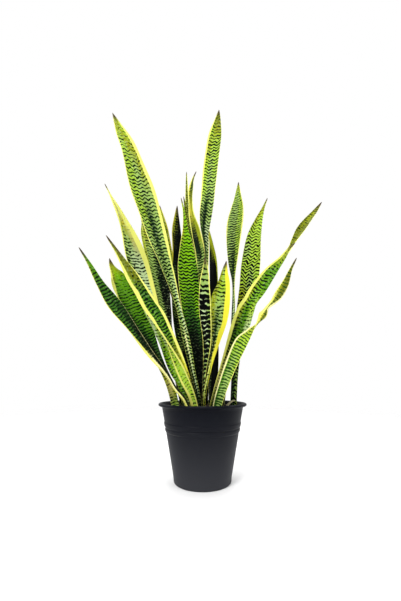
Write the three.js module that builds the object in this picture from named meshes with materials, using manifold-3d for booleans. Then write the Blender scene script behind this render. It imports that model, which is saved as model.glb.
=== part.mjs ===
// A potted snake plant: a tapered metal pot with a rolled rim and a pressed double rib,
// the potting soil that fills it, and sword-shaped leaves standing in the soil, with one
// short dry leaf sheath among their feet.
// Millimetres, +Z up. The origin is the centre of the pot's flat underside.
import * as THREE from 'three';
import { mergeVertices } from 'three/addons/utils/BufferGeometryUtils.js';
import Module from 'manifold-3d';

// ---- Driving dimensions ----

// Pot
const POT_HEIGHT = 242;
const RIM_RADIUS = 135;
const BEAD_RADIUS = 4.4;
const WALL_TOP_RADIUS = 124.2;
const SKIRT_RADIUS = 90.5;
const SKIRT_TOP = 20;
const BASE_RADIUS = 89;
const BASE_EDGE = 3.5;
const WALL = 1.6;
const NECK_HEIGHT = 231;
const NECK_FLARE = { out: 1, up: 4 };
const BEAD_ARC = { start: -90, end: 120, step: 35 };
const RIB_STANDOUT = 1.9;
const RIB_SLOPE = 4.5;
const GROOVE_DEPTH = 0.3;
const RIB_HEIGHTS = { bottom: 149, lowerGroove: 154, middleGroove: 169, top: 187 };
const ROUND_SIDES = 40;

// Soil
const SOIL_LEVEL = 229;
const SOIL_CROWN = 3;
const SOIL_SHOULDER = { reach: 0.55, rise: 0.8 };
const GAP = 0.3;
const HOLE_ROWS = 2;

// Leaves
const STEPS_PER_ROW = 3;
const COLUMNS = [-1, -0.5, 0, 0.5, 1];
const EDGE_THICKNESS = 0.8;
const BASE_THICKNESS = 6;
const TIP_THICKNESS = 1.4;
const THICKNESS_PER_WIDTH = 0.2;
const RIPPLES_PER_ROW = 0.5;
const FULL_RIPPLE_WIDTH = 60;

// Corners closer than this are one corner.
const WELD_DISTANCE = 1e-4;

// ---- Colours ----

const COLOURS = {
  pot: { color: 0x24262a, roughness: 0.45, metalness: 0.35 },
  soil: { color: 0x241a12, roughness: 0.95, metalness: 0 },
  green: { color: 0x4f7d2a, roughness: 0.42, metalness: 0 },
  dark: { color: 0x2c4423, roughness: 0.45, metalness: 0 },
  pale: { color: 0x8fae63, roughness: 0.42, metalness: 0 },
  dry: { color: 0xb8ae86, roughness: 0.8, metalness: 0 },
};

// ---- The leaves ----

// Each row is [x, y, z, width, turn], from the foot in the soil to the tip. Turn is the way
// that the blade's inner face looks, in degrees: 0 is -Y, and more turns it towards +X.
// Cup is how deep the blade is folded along its middle, at its foot and at its tip, as a
// share of its half width; the inner face is the hollow one.
// Ripple is how far the margins of a full-width blade wave, in millimetres.
const LEAVES = [
  {
    name: 'leaf_tall_left',
    finish: 'green',
    cup: [0.5, 0.14],
    ripple: 2,
    rows: [
      [-6, -22, 176, 14, 0],
      [-12, -25, 258, 12, 3],
      [-30, -34, 341, 14, 10],
      [-49, -43, 428, 22, 23],
      [-77, -55, 542, 20, 43],
      [-105, -66, 624, 50, 50],
      [-131, -76, 704, 65, 44],
      [-154, -86, 781, 78, 39],
      [-176, -97, 856, 67, 34],
      [-198, -108, 927, 50, 34],
      [-220, -114, 975, 30, 34],
      [-238, -120, 1014, 3, 34],
    ],
  },
  {
    name: 'leaf_tall_middle',
    finish: 'green',
    cup: [0.4, 0.16],
    ripple: 2,
    rows: [
      [24, 12, 176, 18, 50],
      [21, 12, 310, 19, 58],
      [15, 11, 460, 21, 65],
      [10, 11, 601, 28, 69],
      [9, 10, 713, 31, 66],
      [4, 11, 792, 40, 38],
      [16, 12, 885, 42, 3],
      [26, 12, 977, 46, -12],
      [38, 12, 1069, 44, -12],
      [47, 11, 1124, 22, -12],
      [52, 10, 1160, 3, -12],
    ],
  },
  {
    name: 'leaf_right_centre',
    finish: 'green',
    cup: [0.55, 0.16],
    ripple: 1.5,
    rows: [
      [58, 25, 172, 15, -20],
      [74, 34, 300, 16, -30],
      [96, 51, 421, 16, -41],
      [107, 74, 545, 15, -51],
      [110, 95, 646, 13, -54],
      [113, 113, 738, 42, -44],
      [119, 137, 859, 61, -24],
      [130, 155, 943, 49, -24],
      [135, 169, 1009, 23, -24],
      [138, 180, 1066, 3, -24],
    ],
  },
  {
    name: 'leaf_right_banded',
    finish: 'dark',
    cup: [0.9, 0.18],
    ripple: 2,
    rows: [
      [94, 5, 176, 21, 12],
      [95, 8, 255, 21, 11],
      [106, 23, 376, 24, 3],
      [132, 45, 523, 43, -9],
      [155, 64, 616, 60, -14],
      [166, 77, 700, 62, -16],
      [179, 96, 800, 50, -16],
      [199, 111, 874, 27, -11],
      [218, 121, 927, 10, -11],
      [235, 130, 969, 3, -11],
    ],
  },
  {
    name: 'leaf_right_leaning',
    finish: 'green',
    cup: [0.8, 0.2],
    ripple: 1.5,
    rows: [
      [21, -42, 179, 20, 0],
      [33, -44, 244, 22, -2],
      [76, -54, 362, 39, -19],
      [105, -64, 439, 53, -28],
      [125, -73, 503, 53, -30],
      [136, -78, 529, 42, -30],
      [154, -82, 556, 48, -30],
      [187, -92, 604, 36, -30],
      [215, -101, 638, 19, -30],
      [230, -107, 660, 9, -30],
      [246, -112, 676, 3, -30],
    ],
  },
  {
    name: 'leaf_far_right',
    finish: 'green',
    cup: [0.6, 0.2],
    ripple: 1.5,
    rows: [
      [42, -8, 174, 18, 20],
      [73, 2, 343, 28, 9],
      [128, 14, 502, 35, -10],
      [202, 27, 632, 32, -18],
      [278, 38, 731, 14, -23],
      [299, 43, 766, 18, -26],
      [322, 47, 803, 29, -28],
      [347, 51, 838, 24, -28],
      [371, 55, 868, 17, -28],
      [398, 60, 906, 3, -28],
    ],
  },
  {
    name: 'leaf_right_twisted',
    finish: 'green',
    cup: [0.5, 0.15],
    ripple: 1.5,
    rows: [
      [32, -62, 182, 22, 0],
      [45, -68, 254, 26, -2],
      [73, -84, 339, 32, -9],
      [102, -102, 405, 37, -22],
      [125, -108, 435, 26, -48],
      [145, -112, 459, 23, -100],
      [162, -118, 481, 30, -138],
      [169, -124, 499, 12, -160],
      [182, -129, 512, 15, -166],
      [195, -137, 528, 24, -171],
      [207, -153, 552, 19, -177],
      [213, -172, 577, 8, -184],
      [221, -190, 598, 3, -189],
    ],
  },
  {
    name: 'leaf_front_wide_margin',
    finish: 'pale',
    cup: [0.4, 0.2],
    ripple: 1,
    rows: [
      [7, -49, 180, 12, -25],
      [6, -54, 258, 8, -42],
      [21, -67, 340, 14, -51],
      [35, -82, 406, 31, -44],
      [46, -98, 469, 49, -26],
      [49, -114, 523, 52, -19],
      [55, -128, 559, 34, -14],
      [56, -140, 586, 17, -14],
      [59, -150, 610, 3, -14],
    ],
  },
  {
    name: 'leaf_front_small',
    finish: 'pale',
    cup: [0.5, 0.15],
    ripple: 1,
    rows: [
      [1, -78, 185, 11, 40],
      [-1, -86, 252, 7, 52],
      [3, -104, 332, 12, 48],
      [9, -126, 408, 24, 26],
      [4, -151, 485, 31, 14],
      [3, -173, 540, 26, 14],
      [5, -188, 572, 15, 14],
      [4, -200, 595, 3, 14],
    ],
  },
  {
    name: 'leaf_centre_front',
    finish: 'green',
    cup: [0.5, 0.18],
    ripple: 2,
    rows: [
      [-6, -6, 173, 22, -10],
      [-10, -10, 300, 28, -7],
      [-21, -16, 420, 43, 1],
      [-36, -21, 529, 59, 11],
      [-46, -28, 637, 59, 14],
      [-48, -33, 705, 41, 14],
      [-51, -37, 755, 18, 14],
      [-55, -42, 804, 7, 14],
      [-63, -45, 844, 3, 14],
    ],
  },
  {
    name: 'leaf_centre_behind',
    finish: 'dark',
    cup: [0.5, 0.18],
    ripple: 1.5,
    rows: [
      [-26, 32, 172, 18, 0],
      [-32, 47, 377, 29, 11],
      [-42, 69, 564, 42, 24],
      [-52, 92, 732, 37, 24],
      [-59, 109, 859, 20, 24],
      [-60, 117, 922, 11, 24],
      [-67, 125, 971, 3, 24],
    ],
  },
  {
    name: 'leaf_back_slender',
    finish: 'green',
    cup: [0.5, 0.2],
    ripple: 1,
    rows: [
      [-8, 60, 172, 18, 10],
      [-12, 81, 370, 28, 10],
      [-20, 113, 586, 39, 10],
      [-36, 141, 777, 33, 10],
      [-52, 159, 897, 21, 20],
      [-58, 173, 986, 14, 26],
      [-59, 186, 1057, 9, 18],
      [-60, 195, 1117, 3, 0],
    ],
  },
  {
    name: 'leaf_middle_twisted',
    finish: 'dark',
    cup: [0.5, 0.25],
    ripple: 1,
    rows: [
      [8, 36, 173, 18, -10],
      [10, 42, 350, 26, -13],
      [8, 53, 532, 35, -17],
      [3, 62, 666, 35, -23],
      [-5, 68, 743, 36, -28],
      [-18, 74, 811, 34, -33],
      [-35, 79, 876, 22, -34],
      [-39, 83, 926, 15, -28],
      [-39, 87, 967, 17, -16],
      [-33, 90, 1003, 8, -8],
      [-21, 92, 1034, 3, -8],
    ],
  },
  {
    name: 'leaf_centre_dark',
    finish: 'dark',
    cup: [0.5, 0.18],
    ripple: 1.5,
    rows: [
      [-38, 10, 173, 18, 15],
      [-55, 17, 343, 26, 25],
      [-77, 28, 488, 44, 35],
      [-80, 37, 615, 56, 31],
      [-81, 46, 719, 40, 26],
      [-87, 54, 798, 33, 26],
      [-86, 59, 857, 16, 26],
      [-84, 62, 895, 3, 26],
    ],
  },
  {
    name: 'leaf_middle_short',
    finish: 'dark',
    cup: [0.5, 0.2],
    ripple: 1,
    rows: [
      [30, -20, 176, 18, -20],
      [39, -8, 320, 23, -26],
      [41, 10, 452, 28, -30],
      [40, 33, 587, 30, -30],
      [38, 56, 694, 28, -26],
      [31, 73, 770, 14, -21],
      [21, 85, 834, 3, -16],
    ],
  },
  {
    name: 'leaf_left_pale',
    finish: 'pale',
    cup: [0.55, 0.14],
    ripple: 2,
    rows: [
      [-42, -20, 175, 20, 10],
      [-59, -23, 287, 28, 17],
      [-83, -27, 334, 31, 22],
      [-100, -32, 377, 35, 27],
      [-117, -38, 424, 32, 33],
      [-134, -45, 468, 42, 38],
      [-167, -58, 566, 59, 39],
      [-189, -68, 648, 68, 39],
      [-209, -76, 719, 43, 39],
      [-232, -83, 775, 22, 39],
      [-254, -88, 819, 6, 34],
      [-269, -92, 849, 3, 34],
    ],
  },
  {
    name: 'leaf_left_hidden',
    finish: 'dark',
    cup: [0.5, 0.16],
    ripple: 1,
    rows: [
      [-50, 30, 174, 18, 10],
      [-84, 39, 344, 28, 21],
      [-121, 54, 504, 33, 36],
      [-152, 69, 642, 47, 31],
      [-182, 80, 746, 35, 31],
      [-201, 88, 810, 22, 31],
      [-209, 95, 862, 3, 26],
    ],
  },
  {
    name: 'leaf_left_mottled',
    finish: 'pale',
    cup: [0.6, 0.16],
    ripple: 1,
    rows: [
      [-18, -49, 182, 16, 0],
      [-29, -49, 256, 20, 2],
      [-58, -50, 322, 25, 8],
      [-88, -49, 405, 26, 15],
      [-102, -42, 459, 24, 22],
      [-111, -25, 517, 33, 29],
      [-132, -7, 620, 50, 29],
      [-156, 4, 717, 45, 32],
      [-179, 13, 800, 28, 32],
      [-203, 22, 873, 3, 29],
    ],
  },
  {
    name: 'leaf_left_arching',
    finish: 'green',
    cup: [0.45, 0.18],
    ripple: 1.5,
    rows: [
      [-6, -55, 180, 12, 60],
      [-18, -63, 253, 12, 64],
      [-45, -76, 328, 14, 59],
      [-77, -88, 397, 28, 40],
      [-118, -104, 471, 42, 35],
      [-143, -113, 508, 46, 32],
      [-162, -123, 541, 39, 30],
      [-179, -132, 568, 37, 30],
      [-193, -140, 592, 28, 30],
      [-215, -154, 630, 12, 30],
      [-237, -170, 663, 3, 30],
    ],
  },
  {
    name: 'leaf_left_broad',
    finish: 'dark',
    cup: [0.6, 0.14],
    ripple: 1.5,
    rows: [
      [-72, -27, 177, 18, 10],
      [-85, -32, 250, 23, 14],
      [-99, -39, 301, 23, 20],
      [-119, -46, 347, 23, 26],
      [-143, -53, 396, 33, 31],
      [-169, -60, 443, 57, 34],
      [-201, -73, 516, 54, 34],
      [-215, -79, 545, 56, 34],
      [-229, -86, 573, 49, 34],
      [-234, -91, 593, 42, 34],
      [-242, -95, 608, 25, 34],
      [-248, -99, 621, 14, 34],
      [-252, -104, 639, 3, 34],
    ],
  },
  {
    name: 'leaf_lowest_left',
    finish: 'green',
    cup: [0.45, 0.16],
    ripple: 1.5,
    rows: [
      [-22, -80, 183, 11, 20],
      [-49, -80, 251, 12, 24],
      [-78, -84, 289, 11, 29],
      [-100, -89, 326, 13, 34],
      [-147, -102, 385, 22, 43],
      [-187, -119, 445, 29, 44],
      [-229, -138, 504, 37, 36],
      [-258, -157, 552, 21, 36],
      [-276, -175, 591, 10, 36],
      [-293, -192, 622, 3, 36],
    ],
  },
  {
    name: 'leaf_back_left',
    finish: 'dark',
    cup: [0.5, 0.16],
    ripple: 1.5,
    rows: [
      [-37, 46, 172, 18, 0],
      [-52, 61, 343, 29, 12],
      [-72, 81, 495, 33, 27],
      [-91, 94, 590, 39, 32],
      [-113, 106, 672, 50, 32],
      [-138, 126, 809, 50, 32],
      [-148, 139, 887, 36, 32],
      [-156, 150, 956, 3, 32],
    ],
  },
  {
    name: 'dry_sheath',
    finish: 'dry',
    cup: [0.4, 0.3],
    ripple: 0,
    rows: [
      [68, -24, 205, 7, -10],
      [72, -24, 228, 7, -10],
      [80, -23, 241, 6, -10],
      [90, -21, 248, 5, -10],
      [100, -19, 250, 3, -10],
    ],
  },
];

// ---- Solids ----

const wasm = await Module();
wasm.setup();

// Joins a geometry's shared corners and drops the triangles that shrink to a line.
function weld(geometry) {
  const bare = geometry.clone();
  bare.deleteAttribute('normal');
  bare.deleteAttribute('uv');
  const welded = mergeVertices(bare, WELD_DISTANCE);
  const corners = welded.getIndex().array;
  const kept = [];
  for (let i = 0; i < corners.length; i += 3) {
    const [a, b, c] = [corners[i], corners[i + 1], corners[i + 2]];
    if (a !== b && b !== c && c !== a) kept.push(a, b, c);
  }
  welded.setIndex(kept);
  return welded;
}

// Turns a closed geometry into a solid for the boolean cuts.
function toSolid(geometry) {
  const vertProperties = new Float32Array(geometry.getAttribute('position').array);
  const triVerts = new Uint32Array(geometry.getIndex().array);
  return new wasm.Manifold(new wasm.Mesh({ numProp: 3, vertProperties, triVerts }));
}

// Turns a solid back into a geometry.
function toGeometry(solid) {
  const { vertProperties, triVerts } = solid.getMesh();
  const geometry = new THREE.BufferGeometry();
  geometry.setAttribute('position', new THREE.BufferAttribute(vertProperties, 3));
  geometry.setIndex(new THREE.BufferAttribute(triVerts, 1));
  return geometry;
}

// Spins an outline of [radius, height] points about Z.
function turned(outline) {
  const points = outline.map(([radius, height]) => new THREE.Vector2(radius, height));
  return weld(new THREE.LatheGeometry(points, ROUND_SIDES).rotateX(Math.PI / 2));
}

// ---- Pot ----

// Outer radius of the plain tapered wall at a height above the skirt.
function wallRadius(height) {
  const share = (height - SKIRT_TOP) / (NECK_HEIGHT - SKIRT_TOP);
  return THREE.MathUtils.lerp(SKIRT_RADIUS, WALL_TOP_RADIUS, share);
}

// The two pressed ribs with a groove under each, from the bottom up, as they stand out from
// the wall or sink into it.
function ribOutline() {
  const { bottom, lowerGroove, middleGroove, top } = RIB_HEIGHTS;
  const stations = [
    [bottom, 0],
    [lowerGroove, -GROOVE_DEPTH],
    [lowerGroove + RIB_SLOPE, RIB_STANDOUT],
    [middleGroove - RIB_SLOPE, RIB_STANDOUT],
    [middleGroove, -GROOVE_DEPTH],
    [middleGroove + RIB_SLOPE, RIB_STANDOUT],
    [top - RIB_SLOPE, RIB_STANDOUT],
    [top, 0],
  ];
  return stations.map(([height, out]) => [wallRadius(height) + out, height]);
}

// The rolled bead, as an arc from under the lip, round the outside and over to the inner wall.
function beadOutline() {
  const arc = [];
  for (let degrees = BEAD_ARC.start; degrees <= BEAD_ARC.end; degrees += BEAD_ARC.step) {
    const angle = THREE.MathUtils.degToRad(degrees);
    const radius = RIM_RADIUS - BEAD_RADIUS + BEAD_RADIUS * Math.cos(angle);
    const height = POT_HEIGHT - BEAD_RADIUS + BEAD_RADIUS * Math.sin(angle);
    arc.push([radius, height]);
  }
  return arc;
}

// A closed cup: flat underside, short upright skirt, tapered ribbed wall and rolled rim.
function potGeometry() {
  const inside = (height) => wallRadius(height) - WALL;
  const outline = [
    [0, 0],
    [BASE_RADIUS - BASE_EDGE, 0],
    [BASE_RADIUS, BASE_EDGE],
    [SKIRT_RADIUS, SKIRT_TOP],
    ...ribOutline(),
    [WALL_TOP_RADIUS, NECK_HEIGHT],
    ...beadOutline(),
    [inside(NECK_HEIGHT) + NECK_FLARE.out, NECK_HEIGHT + NECK_FLARE.up],
    [inside(NECK_HEIGHT), NECK_HEIGHT],
    [inside(SKIRT_TOP), SKIRT_TOP],
    [BASE_RADIUS - WALL, WALL],
    [0, WALL],
  ];
  return turned(outline);
}

// ---- Leaves ----

// A smooth curve through a list of points.
function smooth(points) {
  return new THREE.CatmullRomCurve3(points, false, 'catmullrom');
}

// Sections of one leaf, foot first. Grow makes the section fatter all round, for a hole.
function leafSections(leaf, steps, grow) {
  const line = smooth(leaf.rows.map(([x, y, z]) => new THREE.Vector3(x, y, z)));
  const form = smooth(leaf.rows.map((row) => new THREE.Vector3(row[3], row[4], 0)));
  const sections = [];
  for (let step = 0; step <= steps; step += 1) {
    const along = step / ((leaf.rows.length - 1) * STEPS_PER_ROW);
    const centre = line.getPoint(along);
    const { x: width, y: turn } = form.getPoint(along);
    const angle = THREE.MathUtils.degToRad(turn);
    const facing = new THREE.Vector3(Math.sin(angle), -Math.cos(angle), 0);
    const rise = line.getTangent(along);
    const across = new THREE.Vector3().crossVectors(rise, facing).normalize();
    const out = new THREE.Vector3().crossVectors(across, rise).normalize();
    sections.push(leafSection(leaf, along, centre, across, out, width, grow));
  }
  return sections;
}

// The front and back points of one section, from the left margin to the right.
function leafSection(leaf, along, centre, across, out, width, grow) {
  const half = width / 2;
  const cup = THREE.MathUtils.lerp(leaf.cup[0], leaf.cup[1], along) * half;
  const body = THREE.MathUtils.lerp(BASE_THICKNESS, TIP_THICKNESS, Math.sqrt(along));
  const thick = Math.min(body, EDGE_THICKNESS + width * THICKNESS_PER_WIDTH);
  const ripples = leaf.rows.length * RIPPLES_PER_ROW;
  const wave = leaf.ripple * (width / FULL_RIPPLE_WIDTH) * Math.sin(2 * Math.PI * ripples * along);
  const front = [];
  const back = [];
  for (const column of COLUMNS) {
    const reach = column * (half + grow);
    const share = reach / half;
    const lift = cup * share * share + wave * share * Math.abs(share);
    const skin = (EDGE_THICKNESS + (thick - EDGE_THICKNESS) * (1 - column * column)) / 2 + grow;
    front.push(centre.clone().addScaledVector(across, reach).addScaledVector(out, lift + skin));
    back.push(centre.clone().addScaledVector(across, reach).addScaledVector(out, lift - skin));
  }
  return { front, back };
}

// Skins the sections into one closed blade, split into triangles alike on both faces.
function blade(sections) {
  const count = COLUMNS.length;
  const points = sections.flatMap(({ front, back }) => [...front, ...back]);
  const face = (step, column) => step * 2 * count + column;
  const rear = (step, column) => face(step, column) + count;
  const last = count - 1;
  const index = [];
  const quad = (a, b, c, d) => index.push(a, b, c, a, c, d);
  for (let k = 0; k < sections.length - 1; k += 1) {
    for (let j = 0; j < last; j += 1) {
      quad(face(k, j), face(k, j + 1), face(k + 1, j + 1), face(k + 1, j));
      index.push(rear(k, j), rear(k + 1, j + 1), rear(k, j + 1));
      index.push(rear(k, j), rear(k + 1, j), rear(k + 1, j + 1));
    }
    quad(face(k, 0), face(k + 1, 0), rear(k + 1, 0), rear(k, 0));
    quad(face(k, last), rear(k, last), rear(k + 1, last), face(k + 1, last));
  }
  const end = sections.length - 1;
  for (let j = 0; j < last; j += 1) {
    quad(face(0, j), rear(0, j), rear(0, j + 1), face(0, j + 1));
    quad(face(end, j), face(end, j + 1), rear(end, j + 1), rear(end, j));
  }
  const geometry = new THREE.BufferGeometry().setFromPoints(points);
  geometry.setIndex(index);
  return geometry;
}

// One whole leaf.
function leafGeometry(leaf) {
  return blade(leafSections(leaf, (leaf.rows.length - 1) * STEPS_PER_ROW, 0));
}

// A blind hole in the soil: the leaf's own foot, a gap wider, reaching a gap below it.
function holeSolid(leaf) {
  const [foot, ...upper] = leafSections(leaf, STEPS_PER_ROW * HOLE_ROWS, GAP);
  const sink = (point) => point.clone().setZ(point.z - GAP);
  const sunk = { front: foot.front.map(sink), back: foot.back.map(sink) };
  return toSolid(blade([sunk, ...upper]));
}

// ---- Soil ----

// Fills the pot a gap inside its wall, slightly crowned, with a plain hole for each leaf.
function soilGeometry() {
  const inside = (height) => wallRadius(height) - WALL - GAP;
  const outline = [
    [0, WALL + GAP],
    [BASE_RADIUS - WALL - GAP, WALL + GAP],
    [inside(SKIRT_TOP), SKIRT_TOP],
    [inside(SOIL_LEVEL), SOIL_LEVEL],
    [inside(SOIL_LEVEL) * SOIL_SHOULDER.reach, SOIL_LEVEL + SOIL_CROWN * SOIL_SHOULDER.rise],
    [0, SOIL_LEVEL + SOIL_CROWN],
  ];
  let soil = toSolid(turned(outline));
  for (const leaf of LEAVES) {
    soil = soil.subtract(holeSolid(leaf));
  }
  return toGeometry(soil);
}

// ---- Assembly ----

// One named piece in its own colour.
function part(name, geometry, finish) {
  const mesh = new THREE.Mesh(geometry, new THREE.MeshStandardMaterial(COLOURS[finish]));
  mesh.name = name;
  return mesh;
}

const pottedPlant = new THREE.Group();
pottedPlant.add(part('pot', potGeometry(), 'pot'));
pottedPlant.add(part('soil', soilGeometry(), 'soil'));
for (const leaf of LEAVES) {
  pottedPlant.add(part(leaf.name, leafGeometry(leaf), leaf.finish));
}

export default pottedPlant;
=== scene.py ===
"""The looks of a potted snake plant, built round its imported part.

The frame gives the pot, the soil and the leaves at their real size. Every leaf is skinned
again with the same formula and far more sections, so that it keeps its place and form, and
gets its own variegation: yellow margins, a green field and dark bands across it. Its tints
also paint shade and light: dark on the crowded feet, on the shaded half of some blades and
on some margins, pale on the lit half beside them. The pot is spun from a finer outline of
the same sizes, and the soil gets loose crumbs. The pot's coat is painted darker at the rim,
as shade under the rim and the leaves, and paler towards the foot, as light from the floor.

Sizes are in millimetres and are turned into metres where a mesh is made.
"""

import logging
import math
from dataclasses import dataclass, field
from enum import Enum
from typing import Any, Callable, Optional, Union

import bpy
import numpy as np
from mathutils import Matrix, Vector


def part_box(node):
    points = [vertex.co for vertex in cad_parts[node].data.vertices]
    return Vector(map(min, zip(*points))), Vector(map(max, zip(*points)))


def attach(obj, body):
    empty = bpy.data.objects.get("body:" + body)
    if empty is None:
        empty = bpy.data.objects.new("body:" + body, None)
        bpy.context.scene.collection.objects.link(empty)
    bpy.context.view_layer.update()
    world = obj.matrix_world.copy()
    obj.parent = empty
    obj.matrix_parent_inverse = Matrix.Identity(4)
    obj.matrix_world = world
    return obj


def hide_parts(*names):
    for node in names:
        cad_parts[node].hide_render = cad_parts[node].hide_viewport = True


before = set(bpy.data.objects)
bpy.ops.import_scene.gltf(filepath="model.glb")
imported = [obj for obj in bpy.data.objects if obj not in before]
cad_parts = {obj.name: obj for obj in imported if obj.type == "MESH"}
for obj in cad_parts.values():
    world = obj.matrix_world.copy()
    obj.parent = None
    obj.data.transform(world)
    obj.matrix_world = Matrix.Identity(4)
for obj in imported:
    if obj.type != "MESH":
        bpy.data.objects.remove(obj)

MM = 0.001
BODY = "root"
BLADE_DATA = "blade"
LOG = logging.getLogger("snake_plant")

Colour = tuple[float, float, float]
Row = tuple[float, float, float, float, float]
Point = tuple[float, float, float]


# ---- Node trees ----


class Wire:
    """An output socket with arithmetic: each expression on it adds its Math nodes."""

    def __init__(self, graph: "Graph", socket: bpy.types.NodeSocket) -> None:
        """Wraps a socket.

        Args:
            graph: The graph that the socket's node is in.
            socket: The output socket.
        """
        self.graph = graph
        self.socket = socket

    def _math(self, operation: str, first: "Number", second: "Number") -> "Wire":
        """Adds one Math node.

        Args:
            operation: The Math node's operation.
            first: Its first value.
            second: Its second value.

        Returns:
            The node's result.
        """
        return self.graph.wire("ShaderNodeMath", {"operation": operation}, {0: first, 1: second})

    def __add__(self, other: "Number") -> "Wire":
        """This plus the other."""
        return self._math("ADD", self, other)

    def __radd__(self, other: "Number") -> "Wire":
        """The other plus this."""
        return self._math("ADD", other, self)

    def __sub__(self, other: "Number") -> "Wire":
        """This less the other."""
        return self._math("SUBTRACT", self, other)

    def __rsub__(self, other: "Number") -> "Wire":
        """The other less this."""
        return self._math("SUBTRACT", other, self)

    def __mul__(self, other: "Number") -> "Wire":
        """This times the other."""
        return self._math("MULTIPLY", self, other)

    def __rmul__(self, other: "Number") -> "Wire":
        """The other times this."""
        return self._math("MULTIPLY", other, self)

    def __truediv__(self, other: "Number") -> "Wire":
        """This over the other."""
        return self._math("DIVIDE", self, other)


Number = Union[float, Wire]


class Graph:
    """Adds nodes to one shader, world or geometry tree."""

    def __init__(self, tree: bpy.types.NodeTree) -> None:
        """Starts with an empty tree.

        Args:
            tree: The tree, which is cleared.
        """
        self.tree = tree
        tree.nodes.clear()

    def node(self, kind: str, settings: Optional[dict[str, Any]] = None,
             sockets: Optional[dict[Union[int, str], Any]] = None) -> bpy.types.Node:
        """Adds a node, with its settings first and its sockets after them.

        Args:
            kind: The node's type.
            settings: Its properties by name; stops is a ramp's list of (place, colour).
            sockets: Its input sockets by name or number, each a value or a Wire.

        Returns:
            The new node.
        """
        made = self.tree.nodes.new(kind)
        for name, value in (settings or {}).items():
            if name == "stops":
                self._fill_ramp(made.color_ramp, value)
            else:
                setattr(made, name, value)
        for name, value in (sockets or {}).items():
            if isinstance(value, Wire):
                self.tree.links.new(value.socket, made.inputs[name])
            else:
                made.inputs[name].default_value = value
        return made

    @staticmethod
    def _fill_ramp(ramp: bpy.types.ColorRamp, stops: list[tuple[float, tuple]]) -> None:
        """Gives a colour ramp its stops.

        Args:
            ramp: The ramp, with the two stops that a new one has.
            stops: At least two (place, RGBA) pairs, lowest first.
        """
        while len(ramp.elements) < len(stops):
            ramp.elements.new(1.0)
        for element, (place, colour) in zip(ramp.elements, stops):
            element.position = place
            element.color = colour

    def wire(self, kind: str, settings: Optional[dict[str, Any]] = None,
             sockets: Optional[dict[Union[int, str], Any]] = None,
             output: Union[int, str] = 0) -> Wire:
        """Adds a node and gives one of its outputs.

        Args:
            kind: The node's type.
            settings: As for node.
            sockets: As for node.
            output: The output socket's name or number.

        Returns:
            That output.
        """
        return Wire(self, self.node(kind, settings, sockets).outputs[output])

    def math(self, operation: str, first: Number, second: Number = 0.0) -> Wire:
        """A Math node for an operation that has no Python operator."""
        return self.wire("ShaderNodeMath", {"operation": operation}, {0: first, 1: second})

    def step(self, value: Number, low: Number, high: Number) -> Wire:
        """A smooth step: 0 under low, 1 over high."""
        return self.wire("ShaderNodeMapRange", {"interpolation_type": "SMOOTHSTEP"},
                         {"Value": value, "From Min": low, "From Max": high})

    def share(self, value: Number, low: float, high: float) -> Wire:
        """How far a value is from low to high, held between 0 and 1."""
        return self.wire("ShaderNodeMapRange", {},
                         {"Value": value, "From Min": low, "From Max": high})

    def mix(self, factor: Number, first: Any, second: Any) -> Wire:
        """The first colour at factor 0, the second at 1."""
        return self.wire("ShaderNodeMix", {"data_type": "RGBA"},
                         {0: factor, 6: first, 7: second}, 2)

    def combine(self, x: Number, y: Number, z: Number) -> Wire:
        """A vector of three numbers."""
        return self.wire("ShaderNodeCombineXYZ", {}, {0: x, 1: y, 2: z})

    def separate(self, vector: Wire) -> tuple[Wire, Wire, Wire]:
        """The three numbers of a vector."""
        split = self.node("ShaderNodeSeparateXYZ", {}, {0: vector})
        x, y, z = (Wire(self, output) for output in split.outputs)
        return x, y, z

    def noise(self, vector: Wire, scale: float, detail: float = 2.0) -> Wire:
        """Noise about 0.5 on a vector."""
        return self.wire("ShaderNodeTexNoise", {},
                         {"Vector": vector, "Scale": scale, "Detail": detail})

    def place(self) -> Wire:
        """The object's own coordinates, in metres."""
        return self.wire("ShaderNodeTexCoord", {}, {}, "Object")

    def bump(self, height: Wire, distance: float, strength: float = 1.0) -> Wire:
        """A bump of a height from 0 to 1, that many metres deep."""
        return self.wire("ShaderNodeBump", {},
                         {"Strength": strength, "Distance": distance, "Height": height})


def linear(colour: Colour) -> tuple[float, float, float, float]:
    """Turns a screen colour into linear light.

    Args:
        colour: Red, green and blue from 0 to 255, as a screen shows them.

    Returns:
        The same as linear RGBA with full alpha.
    """
    shares = [value / 255.0 for value in colour]
    light = [s / 12.92 if s <= 0.04045 else ((s + 0.055) / 1.055) ** 2.4 for s in shares]
    return light[0], light[1], light[2], 1.0


def new_surface(name: str, constants: dict[str, Any]
                ) -> tuple[bpy.types.Material, Graph, bpy.types.Node]:
    """Starts a material with one Principled shader.

    Args:
        name: The material's name.
        constants: Values set on the shader's own sockets.

    Returns:
        The material, its graph and its shader.
    """
    material = bpy.data.materials.new(name)
    material.use_nodes = True
    graph = Graph(material.node_tree)
    shader = graph.node("ShaderNodeBsdfPrincipled", {}, constants)
    output = graph.node("ShaderNodeOutputMaterial")
    graph.tree.links.new(shader.outputs[0], output.inputs["Surface"])
    return material, graph, shader


def feed(graph: Graph, shader: bpy.types.Node, sockets: dict[str, Wire]) -> None:
    """Links wires to a shader's sockets.

    Args:
        graph: The graph that holds the shader.
        shader: The shader.
        sockets: Wires by socket name.
    """
    for name, wire in sockets.items():
        graph.tree.links.new(wire.socket, shader.inputs[name])


# ---- Meshes ----


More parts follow.
